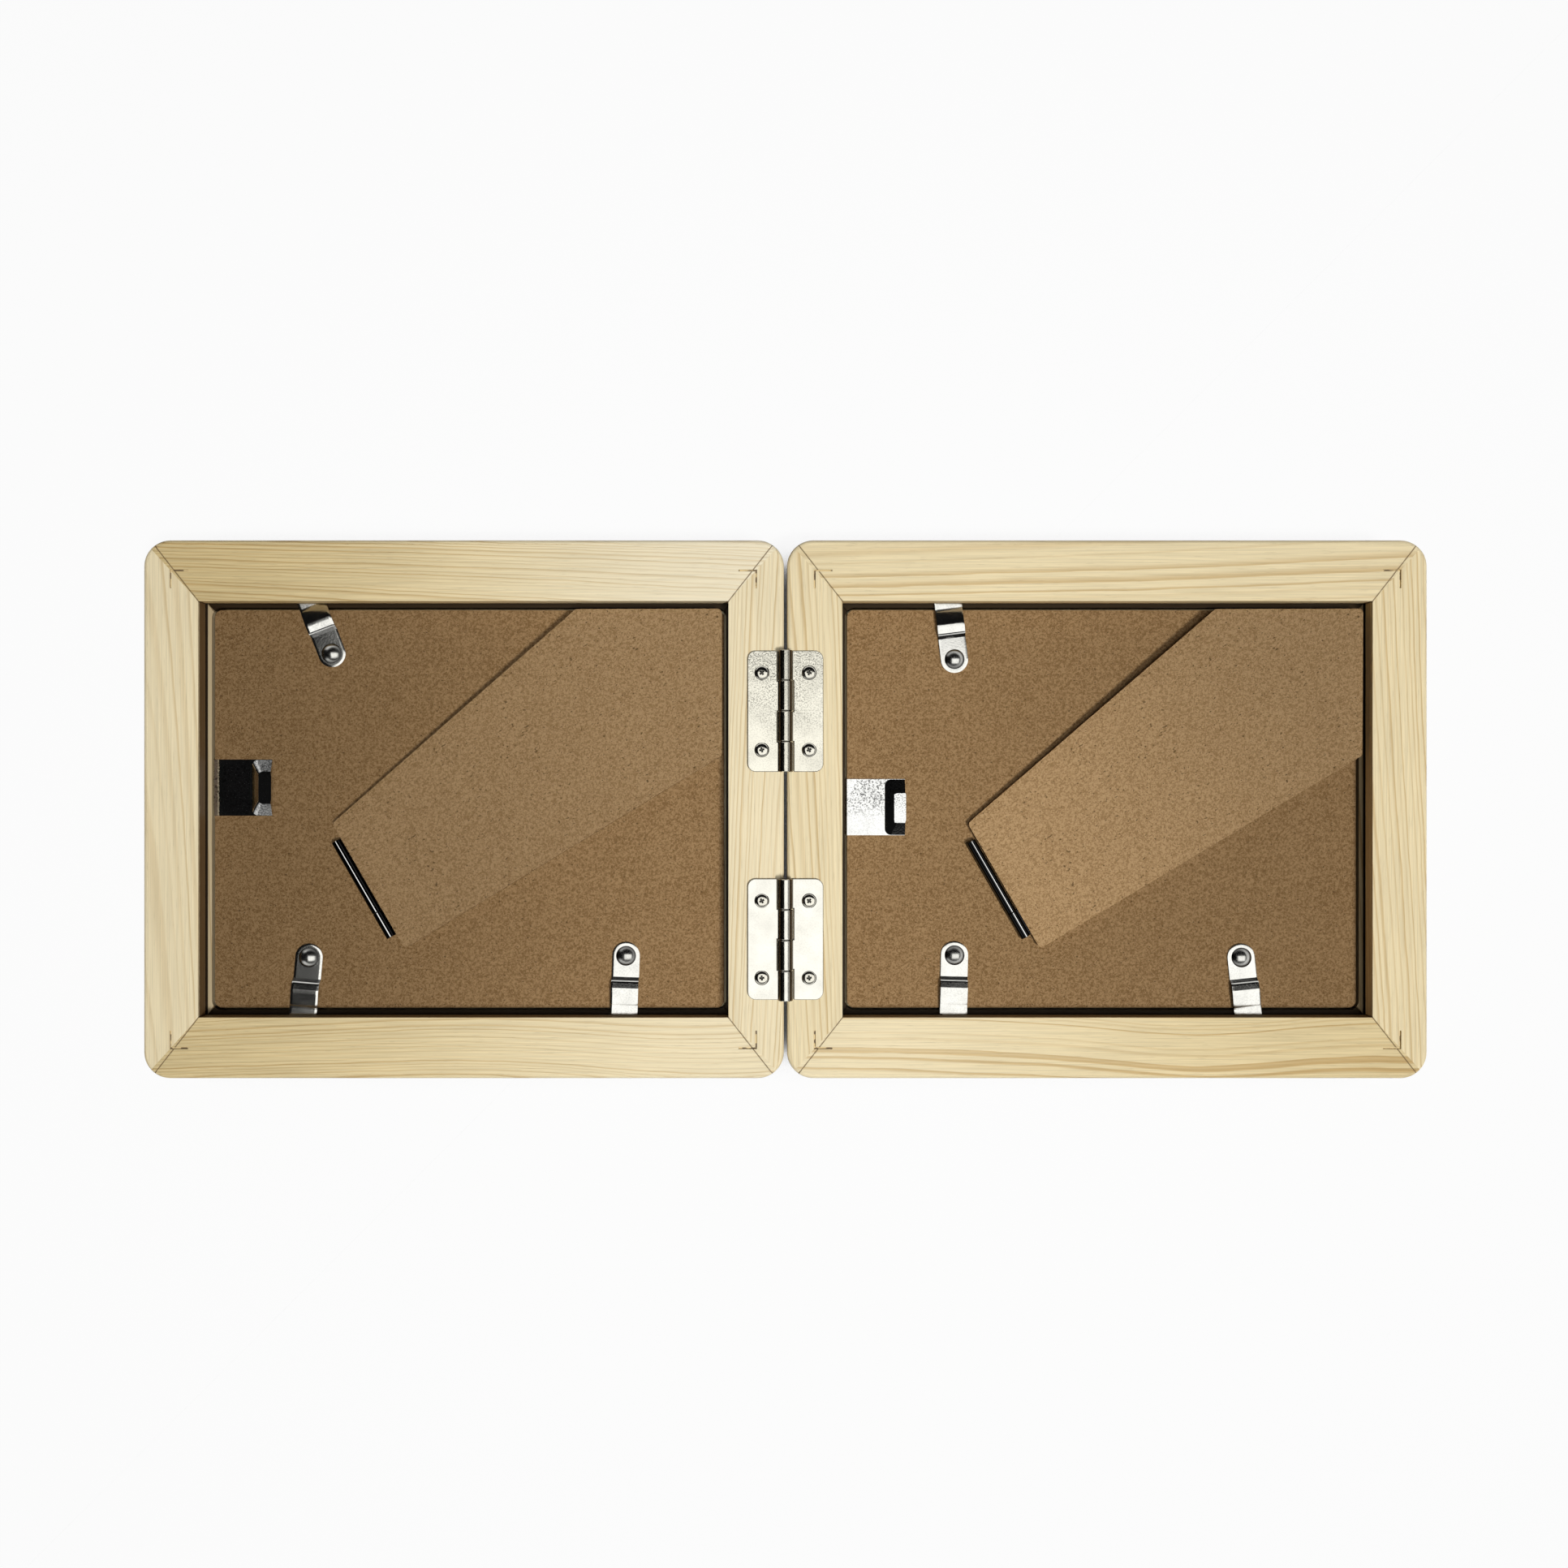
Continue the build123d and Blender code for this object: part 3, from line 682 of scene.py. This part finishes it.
def evenShade(piece, angle):  # flats stay flat beside their rounded edges
    selectNone()
    piece.select_set(True)
    bpy.context.view_layer.objects.active = piece
    startEdit()
    bpy.ops.mesh.dissolve_degenerate(threshold=0.0005)
    bpy.ops.object.mode_set(mode="OBJECT")
    bpy.ops.object.shade_smooth_by_angle(angle=radians(angle))
    shape(piece, "WEIGHTED_NORMAL", weight=80, keep_sharp=True)


def copyTo(pattern, name, place, turn, material):  # a copy with its own mesh, in metres where it belongs
    twin = bpy.data.objects.new(name, pattern.data.copy())
    twin.data.transform(Matrix.Translation(place) @ Matrix.Rotation(turn, 4, "Z") @ Matrix.Scale(mm, 4))
    twin.data.materials.append(material)
    scene.collection.objects.link(twin)
    return twin


def joinUp(pieces, name):
    selectNone()
    for piece in pieces:
        piece.select_set(True)
    bpy.context.view_layer.objects.active = pieces[0]
    bpy.ops.object.join()
    pieces[0].name = name
    return pieces[0]


def standIn(piece, body, slot, *replaced):
    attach(piece, body)
    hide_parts(*replaced)


# Turn clips: a strip with a round riveted end, a short step, a spring arch and a lifted tip

turnClip = {
    "width": 9.2, "hole": 3.16, "flat": 7.7, "sheet": 0.8, "tipRound": 1.2, "edgeRoll": 0.3,
    "footRound": 0.26, "rim": 0.8, "rimDrop": 0.17, "headFlat": 0.02, "through": 4,
    "bends": (  # run and rise of each part after the flat, and how far its far bend is rounded
        (1.5, 1.4, 0.3), (2.6, 0.42, 0.7), (3.2, -0.4, 0.8),
        (1.3, -0.13, 0.5), (1.1, -0.15, 0.5), (4.15, 0.24, 0),
    ),
}


def shapeClip():
    half, flat = turnClip["width"] / 2 - turnClip["rim"], turnClip["flat"]
    clip = startSheet((-half, -half), (flat, half), 0)
    pick("VERT", lambda at: at.x < 0)
    roundOff(half - turnClip["headFlat"], segments=16, kind="VERTICES")
    pick("EDGE", lambda at: at.x > flat - near)
    for run, rise, rounding in turnClip["bends"]:
        drawOut((run, 0, rise))
    reach = flat + sum(bend[0] for bend in turnClip["bends"])
    pick("VERT", lambda at: at.x > reach - near)
    roundOff(turnClip["tipRound"], segments=5, kind="VERTICES")
    line, rounding = flat, turnClip["footRound"]
    for run, rise, nextRounding in turnClip["bends"]:
        pick("EDGE", lambda at: abs(at.x - line) < 2 * near)
        roundOff(rounding, segments=5)
        line, rounding = line + run, nextRounding
    pick("EDGE", lambda at: at.x > -3 * near and abs(at.y) > half - near)
    pick("EDGE", lambda at: at.x < near and at.length > half * nearly, more=True)
    drawOut((0, 0, -turnClip["rimDrop"]))  # the sheared rim is rolled down
    grown = 1 + turnClip["rim"] / half
    resize((1, grown, 1))
    pick("VERT", lambda at: at.x < -near and at.z < -turnClip["rimDrop"] / 2)
    resize((grown, 1, 1))
    leaveEdit()
    if clip.data.polygons[0].normal.z < 0:
        clip.data.flip_normals()
    thicken(clip, turnClip["sheet"], 1.0)
    softenEdges(clip, turnClip["edgeRoll"], segments=4, above=50)
    selectNone()
    bpy.ops.mesh.primitive_cylinder_add(vertices=48, radius=turnClip["hole"] / 2, depth=turnClip["through"])
    cutAway(clip, bpy.context.object)
    evenShade(clip, angle=30)
    return clip


def clipFacing(node, pivot):  # the way a clip points, from its pivot to the middle of its far end
    spots = [vertex.co.xy - pivot.xy for vertex in nodes[node].data.vertices]
    reach = max(spot.length for spot in spots)
    tip = sum((spot for spot in spots if spot.length > reach * nearly), Vector((0, 0)))
    return atan2(tip.y, tip.x)


clipPattern = shapeClip()
pivots = {}
for joint in frame["joints"]:
    if joint["name"].endswith("_turn"):
        pivots[joint["name"].removesuffix("_turn")] = Vector(joint["pos_m"])
for node, pivot in pivots.items():
    place = Vector((pivot.x, pivot.y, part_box(node)[0].z))
    clip = copyTo(clipPattern, node + "_bent", place, clipFacing(node, pivot), metals["clipPlate"])
    standIn(clip, node + "_body", "plated_steel", node)
bpy.data.objects.remove(clipPattern)
print("turn clips modelled:", len(pivots))


# Rivets: a domed head with a thin rim, on a plain shank

clipRivet = {"head": 3.45, "height": 1.3, "rim": 0.12, "shank": 1.45, "reach": 3.9}


def shapeRivet():
    head, crown = clipRivet["head"], clipRivet["height"] - clipRivet["rim"]
    ball = (head ** 2 + crown ** 2) / (2 * crown)  # the sphere that the dome is cut from
    selectNone()
    bpy.ops.mesh.primitive_uv_sphere_add(segments=48, ring_count=64, radius=ball,
                                         location=(0, 0, clipRivet["height"] - ball))
    rivet = startEdit()
    bpy.ops.mesh.bisect(plane_co=(0, 0, clipRivet["rim"]), plane_no=(0, 0, 1), clear_inner=True)
    pick("EDGE", lambda at: at.z < clipRivet["rim"] + near / 10)
    drawOut((0, 0, -clipRivet["rim"]))
    drawOut((0, 0, 0))
    share = clipRivet["shank"] / head
    bpy.ops.transform.resize(value=(share, share, 1))
    drawOut((0, 0, -clipRivet["reach"]))
    bpy.ops.mesh.edge_face_add()
    leaveEdit()
    bpy.ops.object.shade_smooth_by_angle(angle=radians(35))
    return rivet


rivetPattern = shapeRivet()
for side in sides:
    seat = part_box(side + "_clip_rivets")[1].z - clipRivet["height"] * mm
    heads = [copyTo(rivetPattern, "head", Vector((pivot.x, pivot.y, seat)), 0.0, metals["rivetPlate"])
             for node, pivot in pivots.items() if node.startswith(side)]
    standIn(joinUp(heads, side + "_button_rivets"), side + "_frame", "plated_steel", side + "_clip_rivets")
bpy.data.objects.remove(rivetPattern)
print("rivets modelled:", len(pivots))


# Nail hangers: a plate folded round the board's edge, with a pressed hood that is open above a row of teeth

nailHanger = {
    "reach": 20.2, "width": 19.6, "sheet": 0.5, "foot": 7.0, "footWidth": 19.3, "top": 4.0, "topWidth": 10.4,
    "rise": 1.8, "corner": 2.1, "teeth": 5, "toothRoot": 0.25, "toothDrop": 0.65,
    "crease": 0.4, "edge": 0.25, "wrap": 3.0, "under": 5.25, "bend": 0.24, "edgeRoll": 0.16,
}


def shapeHanger():  # its origin is on the plate's middle plane, at the board's edge
    reach, half, rise = nailHanger["reach"], nailHanger["width"] / 2, nailHanger["rise"]
    start, inFoot = reach - nailHanger["foot"], nailHanger["footWidth"] / 2
    inTop, root = nailHanger["topWidth"] / 2, nailHanger["toothRoot"]
    hanger = startSheet((start, -inFoot), (reach, inFoot), 0)  # the hood's foot
    pick("VERT", lambda at: at.x < start + near)
    roundOff(nailHanger["corner"], segments=6, kind="VERTICES")
    pick("EDGE", lambda at: at.x < reach - near)
    pick("EDGE", lambda at: abs(at.y) > inFoot - near, more=True)
    held = 1  # the outline is held down while the plate is drawn from it to the board's edge
    drawOut((0, 0, -held))
    resize((1, half / inFoot, 1))
    pick("VERT", lambda at: at.z < -held / 2 and at.x < reach - near)
    resize((0, 1, 1))
    pick("VERT", lambda at: at.z < -held / 2)
    bpy.ops.transform.translate(value=(0, 0, held))
    pick("FACE", lambda at: at.x > start - near and abs(at.y) < inFoot + near)
    drawOut((0, 0, rise))
    shrink = (nailHanger["top"] / nailHanger["foot"], inTop / inFoot, 1)
    resize(shrink, (reach, 0, rise))
    pick("FACE", lambda at: at.x > reach - near)
    bpy.ops.mesh.delete(type="FACE")
    pick("EDGE", lambda at: at.z > rise - near and at.x < reach - near)
    pick("EDGE", lambda at: at.z > rise - near and abs(at.y) > inTop - near, more=True)
    roundOff(nailHanger["crease"], segments=4)
    pick("EDGE", lambda at: at.x > reach - near and at.z > rise - near)
    bpy.ops.mesh.subdivide(number_cuts=2 * nailHanger["teeth"] - 1)
    drawOut((0, 0, -root))
    pitch = nailHanger["topWidth"] / nailHanger["teeth"]

    def atPoint(spot):  # every other corner is a tooth's point
        return abs((spot.y / pitch + nailHanger["teeth"] / 2) % 1 - 0.5) < 0.1

    pick("VERT", lambda at: abs(at.z - rise + root) < near and at.x > reach - near and atPoint(at))
    bpy.ops.transform.translate(value=(0, 0, -nailHanger["toothDrop"]))
    pick("EDGE", lambda at: at.x < near)
    drawOut((-nailHanger["edge"], 0, 0))
    drawOut((0, 0, -nailHanger["wrap"]))
    drawOut((nailHanger["under"], 0, 0))
    for level in (0, -nailHanger["wrap"]):
        pick("EDGE", lambda at: at.x < near - nailHanger["edge"] and abs(at.z - level) < near)
        roundOff(nailHanger["bend"], segments=4)
    leaveEdit()
    top = max(hanger.data.polygons, key=lambda face: face.center.z)
    if top.normal.z < 0:
        hanger.data.flip_normals()
    thicken(hanger, nailHanger["sheet"])
    softenEdges(hanger, nailHanger["edgeRoll"], segments=3, above=50)
    evenShade(hanger, angle=16)
    return hanger


hangerPattern = shapeHanger()
for side in sides:
    low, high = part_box(side + "_hanger")
    place = Vector((low.x, (low.y + high.y) / 2, high.z))
    place.x += nailHanger["sheet"] * mm
    place.z -= (nailHanger["rise"] + nailHanger["sheet"] / 2) * mm
    hanger = copyTo(hangerPattern, side + "_hanger_pressed", place, 0.0, metals["hangerPlate"])
    standIn(hanger, side + "_frame", "plated_steel", side + "_hanger")
bpy.data.objects.remove(hangerPattern)
print("hangers modelled")


# Butt hinges: a leaf whose knuckles roll round the pin; the other leaf is the same, turned half round

buttHinge = {
    "width": 26.0, "height": 41.5, "sheet": 1.0, "barrel": 5.1, "notch": 2.85, "knuckles": 4, "gap": 0.25,
    "corner": 2.8, "roll": 296, "edgeRoll": 0.4, "holeAcross": 8.1, "holeAlong": 13.2,
    "hole": 1.5, "sinkTop": 2.62, "sinkDepth": 0.9, "sinkDrop": 0.4, "through": 2,
    "finish": {"upper": "wornHingePlate", "lower": "hingePlate"},
}


def shapeLeaf():
    half, notch = buttHinge["height"] / 2, buttHinge["notch"]
    outer, middle = buttHinge["width"] / 2, buttHinge["sheet"] / 2
    length = (buttHinge["height"] - buttHinge["gap"] * (buttHinge["knuckles"] - 1)) / buttHinge["knuckles"]
    tops = [half - count * (length + buttHinge["gap"]) for count in range(0, buttHinge["knuckles"], 2)]
    leaf = startSheet((notch, -half), (outer, half), middle)
    for cut in [top for top in tops if top < half] + [top - length for top in tops]:
        cutAcross(cut)
    pick("VERT", lambda at: at.x > outer - near and abs(at.y) > half - near)
    roundOff(buttHinge["corner"], segments=7, kind="VERTICES")

    def onKnuckle(spot):
        return any(top - length - near < spot.y < top + near for top in tops)

    pick("EDGE", lambda at: abs(at.x - notch) < near and onKnuckle(at))
    drawOut((-notch, 0, 0))
    bpy.ops.mesh.spin(steps=40, angle=radians(buttHinge["roll"]), center=(0, 0, buttHinge["barrel"] / 2),
                      axis=(0, -1, 0))
    leaveEdit()
    thicken(leaf, buttHinge["sheet"])
    softenEdges(leaf, buttHinge["edgeRoll"], segments=3, above=40)
    for along in (-buttHinge["holeAlong"], buttHinge["holeAlong"]):
        cutAway(leaf, shapeSink(buttHinge["holeAcross"], along))
    evenShade(leaf, angle=38)
    return leaf


def shapeSink(across, along):  # the tool for a countersunk hole
    selectNone()
    place = (across, along, buttHinge["sheet"] - buttHinge["sinkDrop"])
    bpy.ops.mesh.primitive_cone_add(vertices=48, radius1=buttHinge["hole"], radius2=buttHinge["sinkTop"],
                                    depth=buttHinge["sinkDepth"], location=place)
    sink = startEdit()
    pick("FACE", lambda at: at.z < buttHinge["sinkDepth"] / 3)
    drawOut((0, 0, -buttHinge["through"]))
    leaveEdit()
    return sink


leafPattern = shapeLeaf()
for hinge in ("upper", "lower"):
    for side, turn in (("right", 0.0), ("left", pi)):
        node = hinge + "_hinge_" + side + "_leaf"
        low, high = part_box(node)
        place = Vector((0, (low.y + high.y) / 2, low.z))
        leaf = copyTo(leafPattern, node + "_rolled", place, turn, metals[buttHinge["finish"][hinge]])
        standIn(leaf, side + "_frame", "plated_steel", node)
bpy.data.objects.remove(leafPattern)
print("hinge leaves modelled")


# Strut hinges: a long knuckle tabbed through the board and a short one on the strut, rolled round one pin

strutHinge = {
    "sheet": 0.7, "barrel": 3.4, "length": 38.5, "seam": -9.35, "gap": 0.2, "roll": 285, "edgeRoll": 0.18,
    "foot": 9.35, "drop": 4.5, "plateStart": 2.2, "plateEnd": 20.2, "plateLevel": -1.2,
    "ajar": 1.7, "turn": 30,
}


def rollUp(sheet):  # rolls the selected edge round the pin and gives the sheet its thickness
    bpy.ops.mesh.spin(steps=36, angle=radians(strutHinge["roll"]), center=(0, 0, 0), axis=(0, -1, 0))
    leaveEdit()
    thicken(sheet, strutHinge["sheet"])
    softenEdges(sheet, strutHinge["edgeRoll"], segments=3, above=40)
    evenShade(sheet, angle=38)
    return sheet


def shapeBoardLeaf():
    middle = (strutHinge["barrel"] - strutHinge["sheet"]) / 2
    low, high = strutHinge["seam"] + strutHinge["gap"] / 2, strutHinge["length"] / 2
    leaf = startSheet((-middle - strutHinge["foot"], low), (-middle, high), -strutHinge["drop"])
    pick("EDGE", lambda at: at.x > -middle - near)
    drawOut((0, 0, strutHinge["drop"]))
    return rollUp(leaf)


def shapeStrutLeaf():
    middle = (strutHinge["barrel"] - strutHinge["sheet"]) / 2
    start, half = strutHinge["plateStart"], strutHinge["length"] / 2
    edge = strutHinge["seam"] - strutHinge["gap"] / 2
    leaf = startSheet((start, -half), (strutHinge["plateEnd"], half), strutHinge["plateLevel"])
    cutAcross(edge)
    pick("EDGE", lambda at: at.x < start + near and at.y < edge + near)
    drawOut((-start, 0, -middle - strutHinge["plateLevel"]))
    leaf = rollUp(leaf)
    leaf.data.transform(Matrix.Rotation(-radians(strutHinge["ajar"]), 4, "Y"))
    return leaf


boardLeaf, strutLeaf = shapeBoardLeaf(), shapeStrutLeaf()
turn = radians(strutHinge["turn"])
for side in sides:
    low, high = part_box(side + "_strut_hinge_pin")
    place = (low + high) / 2
    black = dict(metalFinishes["polishedBlack"], crest=place / mm, way=(cos(turn), sin(turn), 0))
    black = metalMaterial(side + "StrutBarrel", black)
    for pattern, part, body in ((boardLeaf, "board_leaf", "_frame"), (strutLeaf, "strut_leaf", "_easel")):
        node = side + "_strut_hinge_" + part
        standIn(copyTo(pattern, node + "_rolled", place, turn, black), side + body, "dark_steel", node)
for pattern in (boardLeaf, strutLeaf):
    bpy.data.objects.remove(pattern)
print("strut hinges modelled")


# Hinge screws: a raised countersunk head with a tapered cross recess, on a pointed shank

hingeScrew = {
    "head": 2.3, "crown": 0.35, "neck": 1.3, "sink": 1.0, "length": 13.0, "point": 4.0, "tip": 0.15,
    "wing": 0.95, "span": 2.5, "recess": 1.1, "taper": 0.4, "rim": 0.25, "edge": 0.12, "edgeRoll": 0.06,
    "domes": ((0.45, 0.35), (0.3, 0.5), (0.2, 0.6)), "domeTop": 0.05,  # share of the crown, next inset
    "turns": (0.35, 1.0, 0.15, 0.7), "turnSpread": 0.3,
}


def shapeScrew():  # its origin is at the leaf's upper face
    head, neck, sink = hingeScrew["head"], hingeScrew["neck"], hingeScrew["sink"]
    edge, point = hingeScrew["edge"], hingeScrew["point"]
    selectNone()
    bpy.ops.mesh.primitive_circle_add(vertices=48, radius=head, fill_type="NGON")
    screw = startEdit()
    bpy.ops.mesh.inset(thickness=hingeScrew["rim"])
    for lift, step in hingeScrew["domes"]:
        bpy.ops.transform.translate(value=(0, 0, hingeScrew["crown"] * lift))
        bpy.ops.mesh.inset(thickness=step)
    bpy.ops.transform.translate(value=(0, 0, hingeScrew["crown"] * hingeScrew["domeTop"]))
    pick("EDGE", lambda at: at.length > head - 3 * near)
    shank = hingeScrew["length"] - sink - point
    for down, radius in ((edge, head), (sink - edge, neck), (shank, neck), (point, hingeScrew["tip"])):
        bpy.ops.mesh.extrude_edges_move(TRANSFORM_OT_translate={"value": (0, 0, -down)})
        drawn = [vertex for vertex in bmesh.from_edit_mesh(screw.data).verts if vertex.select]
        grown = radius / max(vertex.co.xy.length for vertex in drawn)
        bpy.ops.transform.resize(value=(grown, grown, 1))
    bpy.ops.mesh.edge_face_add()
    leaveEdit()
    for turn in (0.0, pi / 2):
        cutAway(screw, shapeWing(turn))
    softenEdges(screw, hingeScrew["edgeRoll"], segments=2, above=30)
    return screw


def shapeWing(turn):  # the tool for one arm pair of the cross recess
    selectNone()
    bpy.ops.mesh.primitive_cube_add(size=1, location=(0, 0, hingeScrew["crown"]))
    bpy.context.object.scale = (hingeScrew["span"], hingeScrew["wing"], hingeScrew["recess"] * 2)
    wing = startEdit()
    pick("FACE", lambda at: at.z < 0)
    bpy.ops.transform.resize(value=(hingeScrew["taper"], hingeScrew["taper"], 1))
    leaveEdit()
    wing.data.transform(Matrix.Rotation(turn, 4, "Z"))
    return wing


screwPattern = shapeScrew()
for side, way in (("right", 1), ("left", -1)):
    screws = []
    for hinge in ("upper", "lower"):
        low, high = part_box(hinge + "_hinge_" + side + "_leaf")
        for along in (-1, 1):
            place = Vector((way * buttHinge["holeAcross"] * mm, (low.y + high.y) / 2, 0))
            place.y += along * buttHinge["holeAlong"] * mm
            place.z = low.z + buttHinge["sheet"] * mm
            turn = hingeScrew["turns"][len(screws)] * (1 + way * hingeScrew["turnSpread"])
            screws.append(copyTo(screwPattern, "screw", place, turn, metals["screwPlate"]))
    standIn(joinUp(screws, side + "_cross_screws"), side + "_frame", "plated_steel", side + "_hinge_screws")
bpy.data.objects.remove(screwPattern)
print("hinge screws modelled")


# Panes: cut glass with its edges taken off, just clear of the print behind it

framePane = {"clearance": 0.06, "arris": 0.3}


def shapePane(size):
    pane = startSheet(-size / 2, size / 2, 0)
    drawOut((0, 0, size.z - framePane["clearance"]))
    leaveEdit()
    softenEdges(pane, framePane["arris"], segments=1, above=60)
    evenShade(pane, angle=20)
    return pane


low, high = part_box("left_glass")
panePattern = shapePane((high - low) / mm)
for side in sides:
    low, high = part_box(side + "_glass")
    place = Vector(((low.x + high.x) / 2, (low.y + high.y) / 2, low.z))
    pane = copyTo(panePattern, side + "_pane", place, 0.0, glass)
    standIn(pane, side + "_frame", "clear_glass", side + "_glass")
bpy.data.objects.remove(panePattern)
print("panes modelled")


# Camera, lamps, floor and sky

view = {"across": -0.5 * mm, "up": 8.7 * mm, "above": 500 * mm, "lens": 33.45, "nearest": 0.01}
lamps = {
    "topBox": dict(place=(0.05, -0.2, 2.5), size=(1.3, 0.56), watts=2.3, spread=60, aim=(-0.02, -0.04, 0.0)),
    "nearSideBox": dict(place=(0.75, -0.6, 2.3), size=(0.45, 0.4), watts=3.5, spread=50, aim=(0, 0, 0)),
}
floorLook = {
    "size": 30.0, "drop": 0.0004, "tint": (0.045, 0.045, 0.045, 1), "bounce": (0.5, 0.5, 0.5, 1),
    "slit": 0.02, "glow": (0.12, 0.4, 0.02, 0.93),  # painted shade: the glow dims where ambient occlusion finds the seam between the frames and the floor close to them
}
skyLook = {  # across and along are tangents from straight up
    "backdrop": (0.94, 0.94, 0.94, 1), "high": (0.006, 0.006, 0.006, 1), "fill": (0.02, 0.02, 0.02, 1),
    "wall": (0.75, 0.75, 0.74, 1), "wallHeight": (0.24, 0.34, 0.6, 0.7), "wallSide": (0.35, 0.55),
    "card": (1.25, 1.25, 1.22, 1), "cardAcross": (-0.295, -0.24, 0.7, 0.8),
    "cardAlong": (-0.6, -0.5, 0.1, 0.14), "lowest": 0.01,
}


def addCamera():
    data = bpy.data.cameras.new("photoCamera")
    data.lens = view["lens"]
    data.clip_start = view["nearest"]
    camera = bpy.data.objects.new("photoCamera", data)
    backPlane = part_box("left_top_rail")[1].z
    camera.location = (view["across"], view["up"], backPlane + view["above"])
    scene.collection.objects.link(camera)
    scene.camera = camera


def addLamp(name, lamp):
    data = bpy.data.lights.new(name, "AREA")
    data.shape = "RECTANGLE"
    data.size, data.size_y = lamp["size"]
    data.energy = lamp["watts"]
    data.spread = radians(lamp["spread"])
    light = bpy.data.objects.new(name, data)
    light.visible_glossy = False  # metal shows the sky's soft white card instead
    light.visible_transmission = False  # its light reaches the print through the glass's clear shadow
    light.location = lamp["place"]
    toward = Vector(lamp["aim"]) - Vector(lamp["place"])
    light.rotation_euler = toward.to_track_quat("-Z", "Y").to_euler()
    scene.collection.objects.link(light)


def seenDirectly(tree):  # 1 where the camera, a mirror or glass looks straight at a surface
    path = put(tree, "LightPath").node.outputs
    mirrored = calc("MAXIMUM", path["Is Glossy Ray"], path["Is Transmission Ray"])
    mirrored = times(mirrored, calc("LESS_THAN", path["Diffuse Depth"], 0.5))
    return calc("MAXIMUM", path["Is Camera Ray"], mirrored)


def addFloor():
    selectNone()
    bpy.ops.mesh.primitive_plane_add(size=floorLook["size"], location=(0, 0, -floorLook["drop"]))
    floor = bpy.context.object
    floor.name = "floor"
    material = bpy.data.materials.new("floor")
    material.use_nodes = True
    tree = material.node_tree
    tree.nodes.clear()
    # painted shade: ambient occlusion dims the floor's glow in the seam and close to the frames
    clear = put(tree, "AmbientOcclusion", {"Distance": floorLook["slit"]}, samples=6).node.outputs["AO"]
    shadowed = put(tree, "BsdfDiffuse", {"Color": floorLook["tint"]})
    glow = put(tree, "Emission", {"Strength": stretch(clear, *floorLook["glow"])})
    seen = put(tree, "AddShader", {0: shadowed, 1: glow})
    bounce = put(tree, "BsdfDiffuse", {"Color": floorLook["bounce"]})
    mixed = put(tree, "MixShader", {0: seenDirectly(tree), 1: bounce, 2: seen})
    wire(tree.nodes.new("ShaderNodeOutputMaterial").inputs, Surface=mixed)
    floor.data.materials.append(material)


def addSky():
    world = bpy.data.worlds.new("studio")
    scene.world = world
    world.use_nodes = True
    tree = world.node_tree
    east, north, height = split(put(tree, "TexCoord").node.outputs["Generated"])
    upward = calc("MAXIMUM", height, skyLook["lowest"])
    card = times(band(calc("DIVIDE", east, upward), skyLook["cardAcross"]),
                 band(calc("DIVIDE", north, upward), skyLook["cardAlong"]))
    aside = calc("MAXIMUM", east, calc("ABSOLUTE", north))
    wall = times(band(height, skyLook["wallHeight"]), stretch(aside, *skyLook["wallSide"]))
    mirrored = blend(card, blend(wall, skyLook["high"], skyLook["wall"]), skyLook["card"])
    tone = blend(seenDirectly(tree), skyLook["fill"], skyLook["backdrop"])
    tone = blend(put(tree, "LightPath").node.outputs["Is Glossy Ray"], tone, mirrored)
    wire(tree.nodes["Background"].inputs, Color=tone)


addCamera()
for name, lamp in lamps.items():
    addLamp(name, lamp)
addFloor()
addSky()
scene.view_settings.view_transform = "Standard"
print("camera, lamps, floor and sky set")
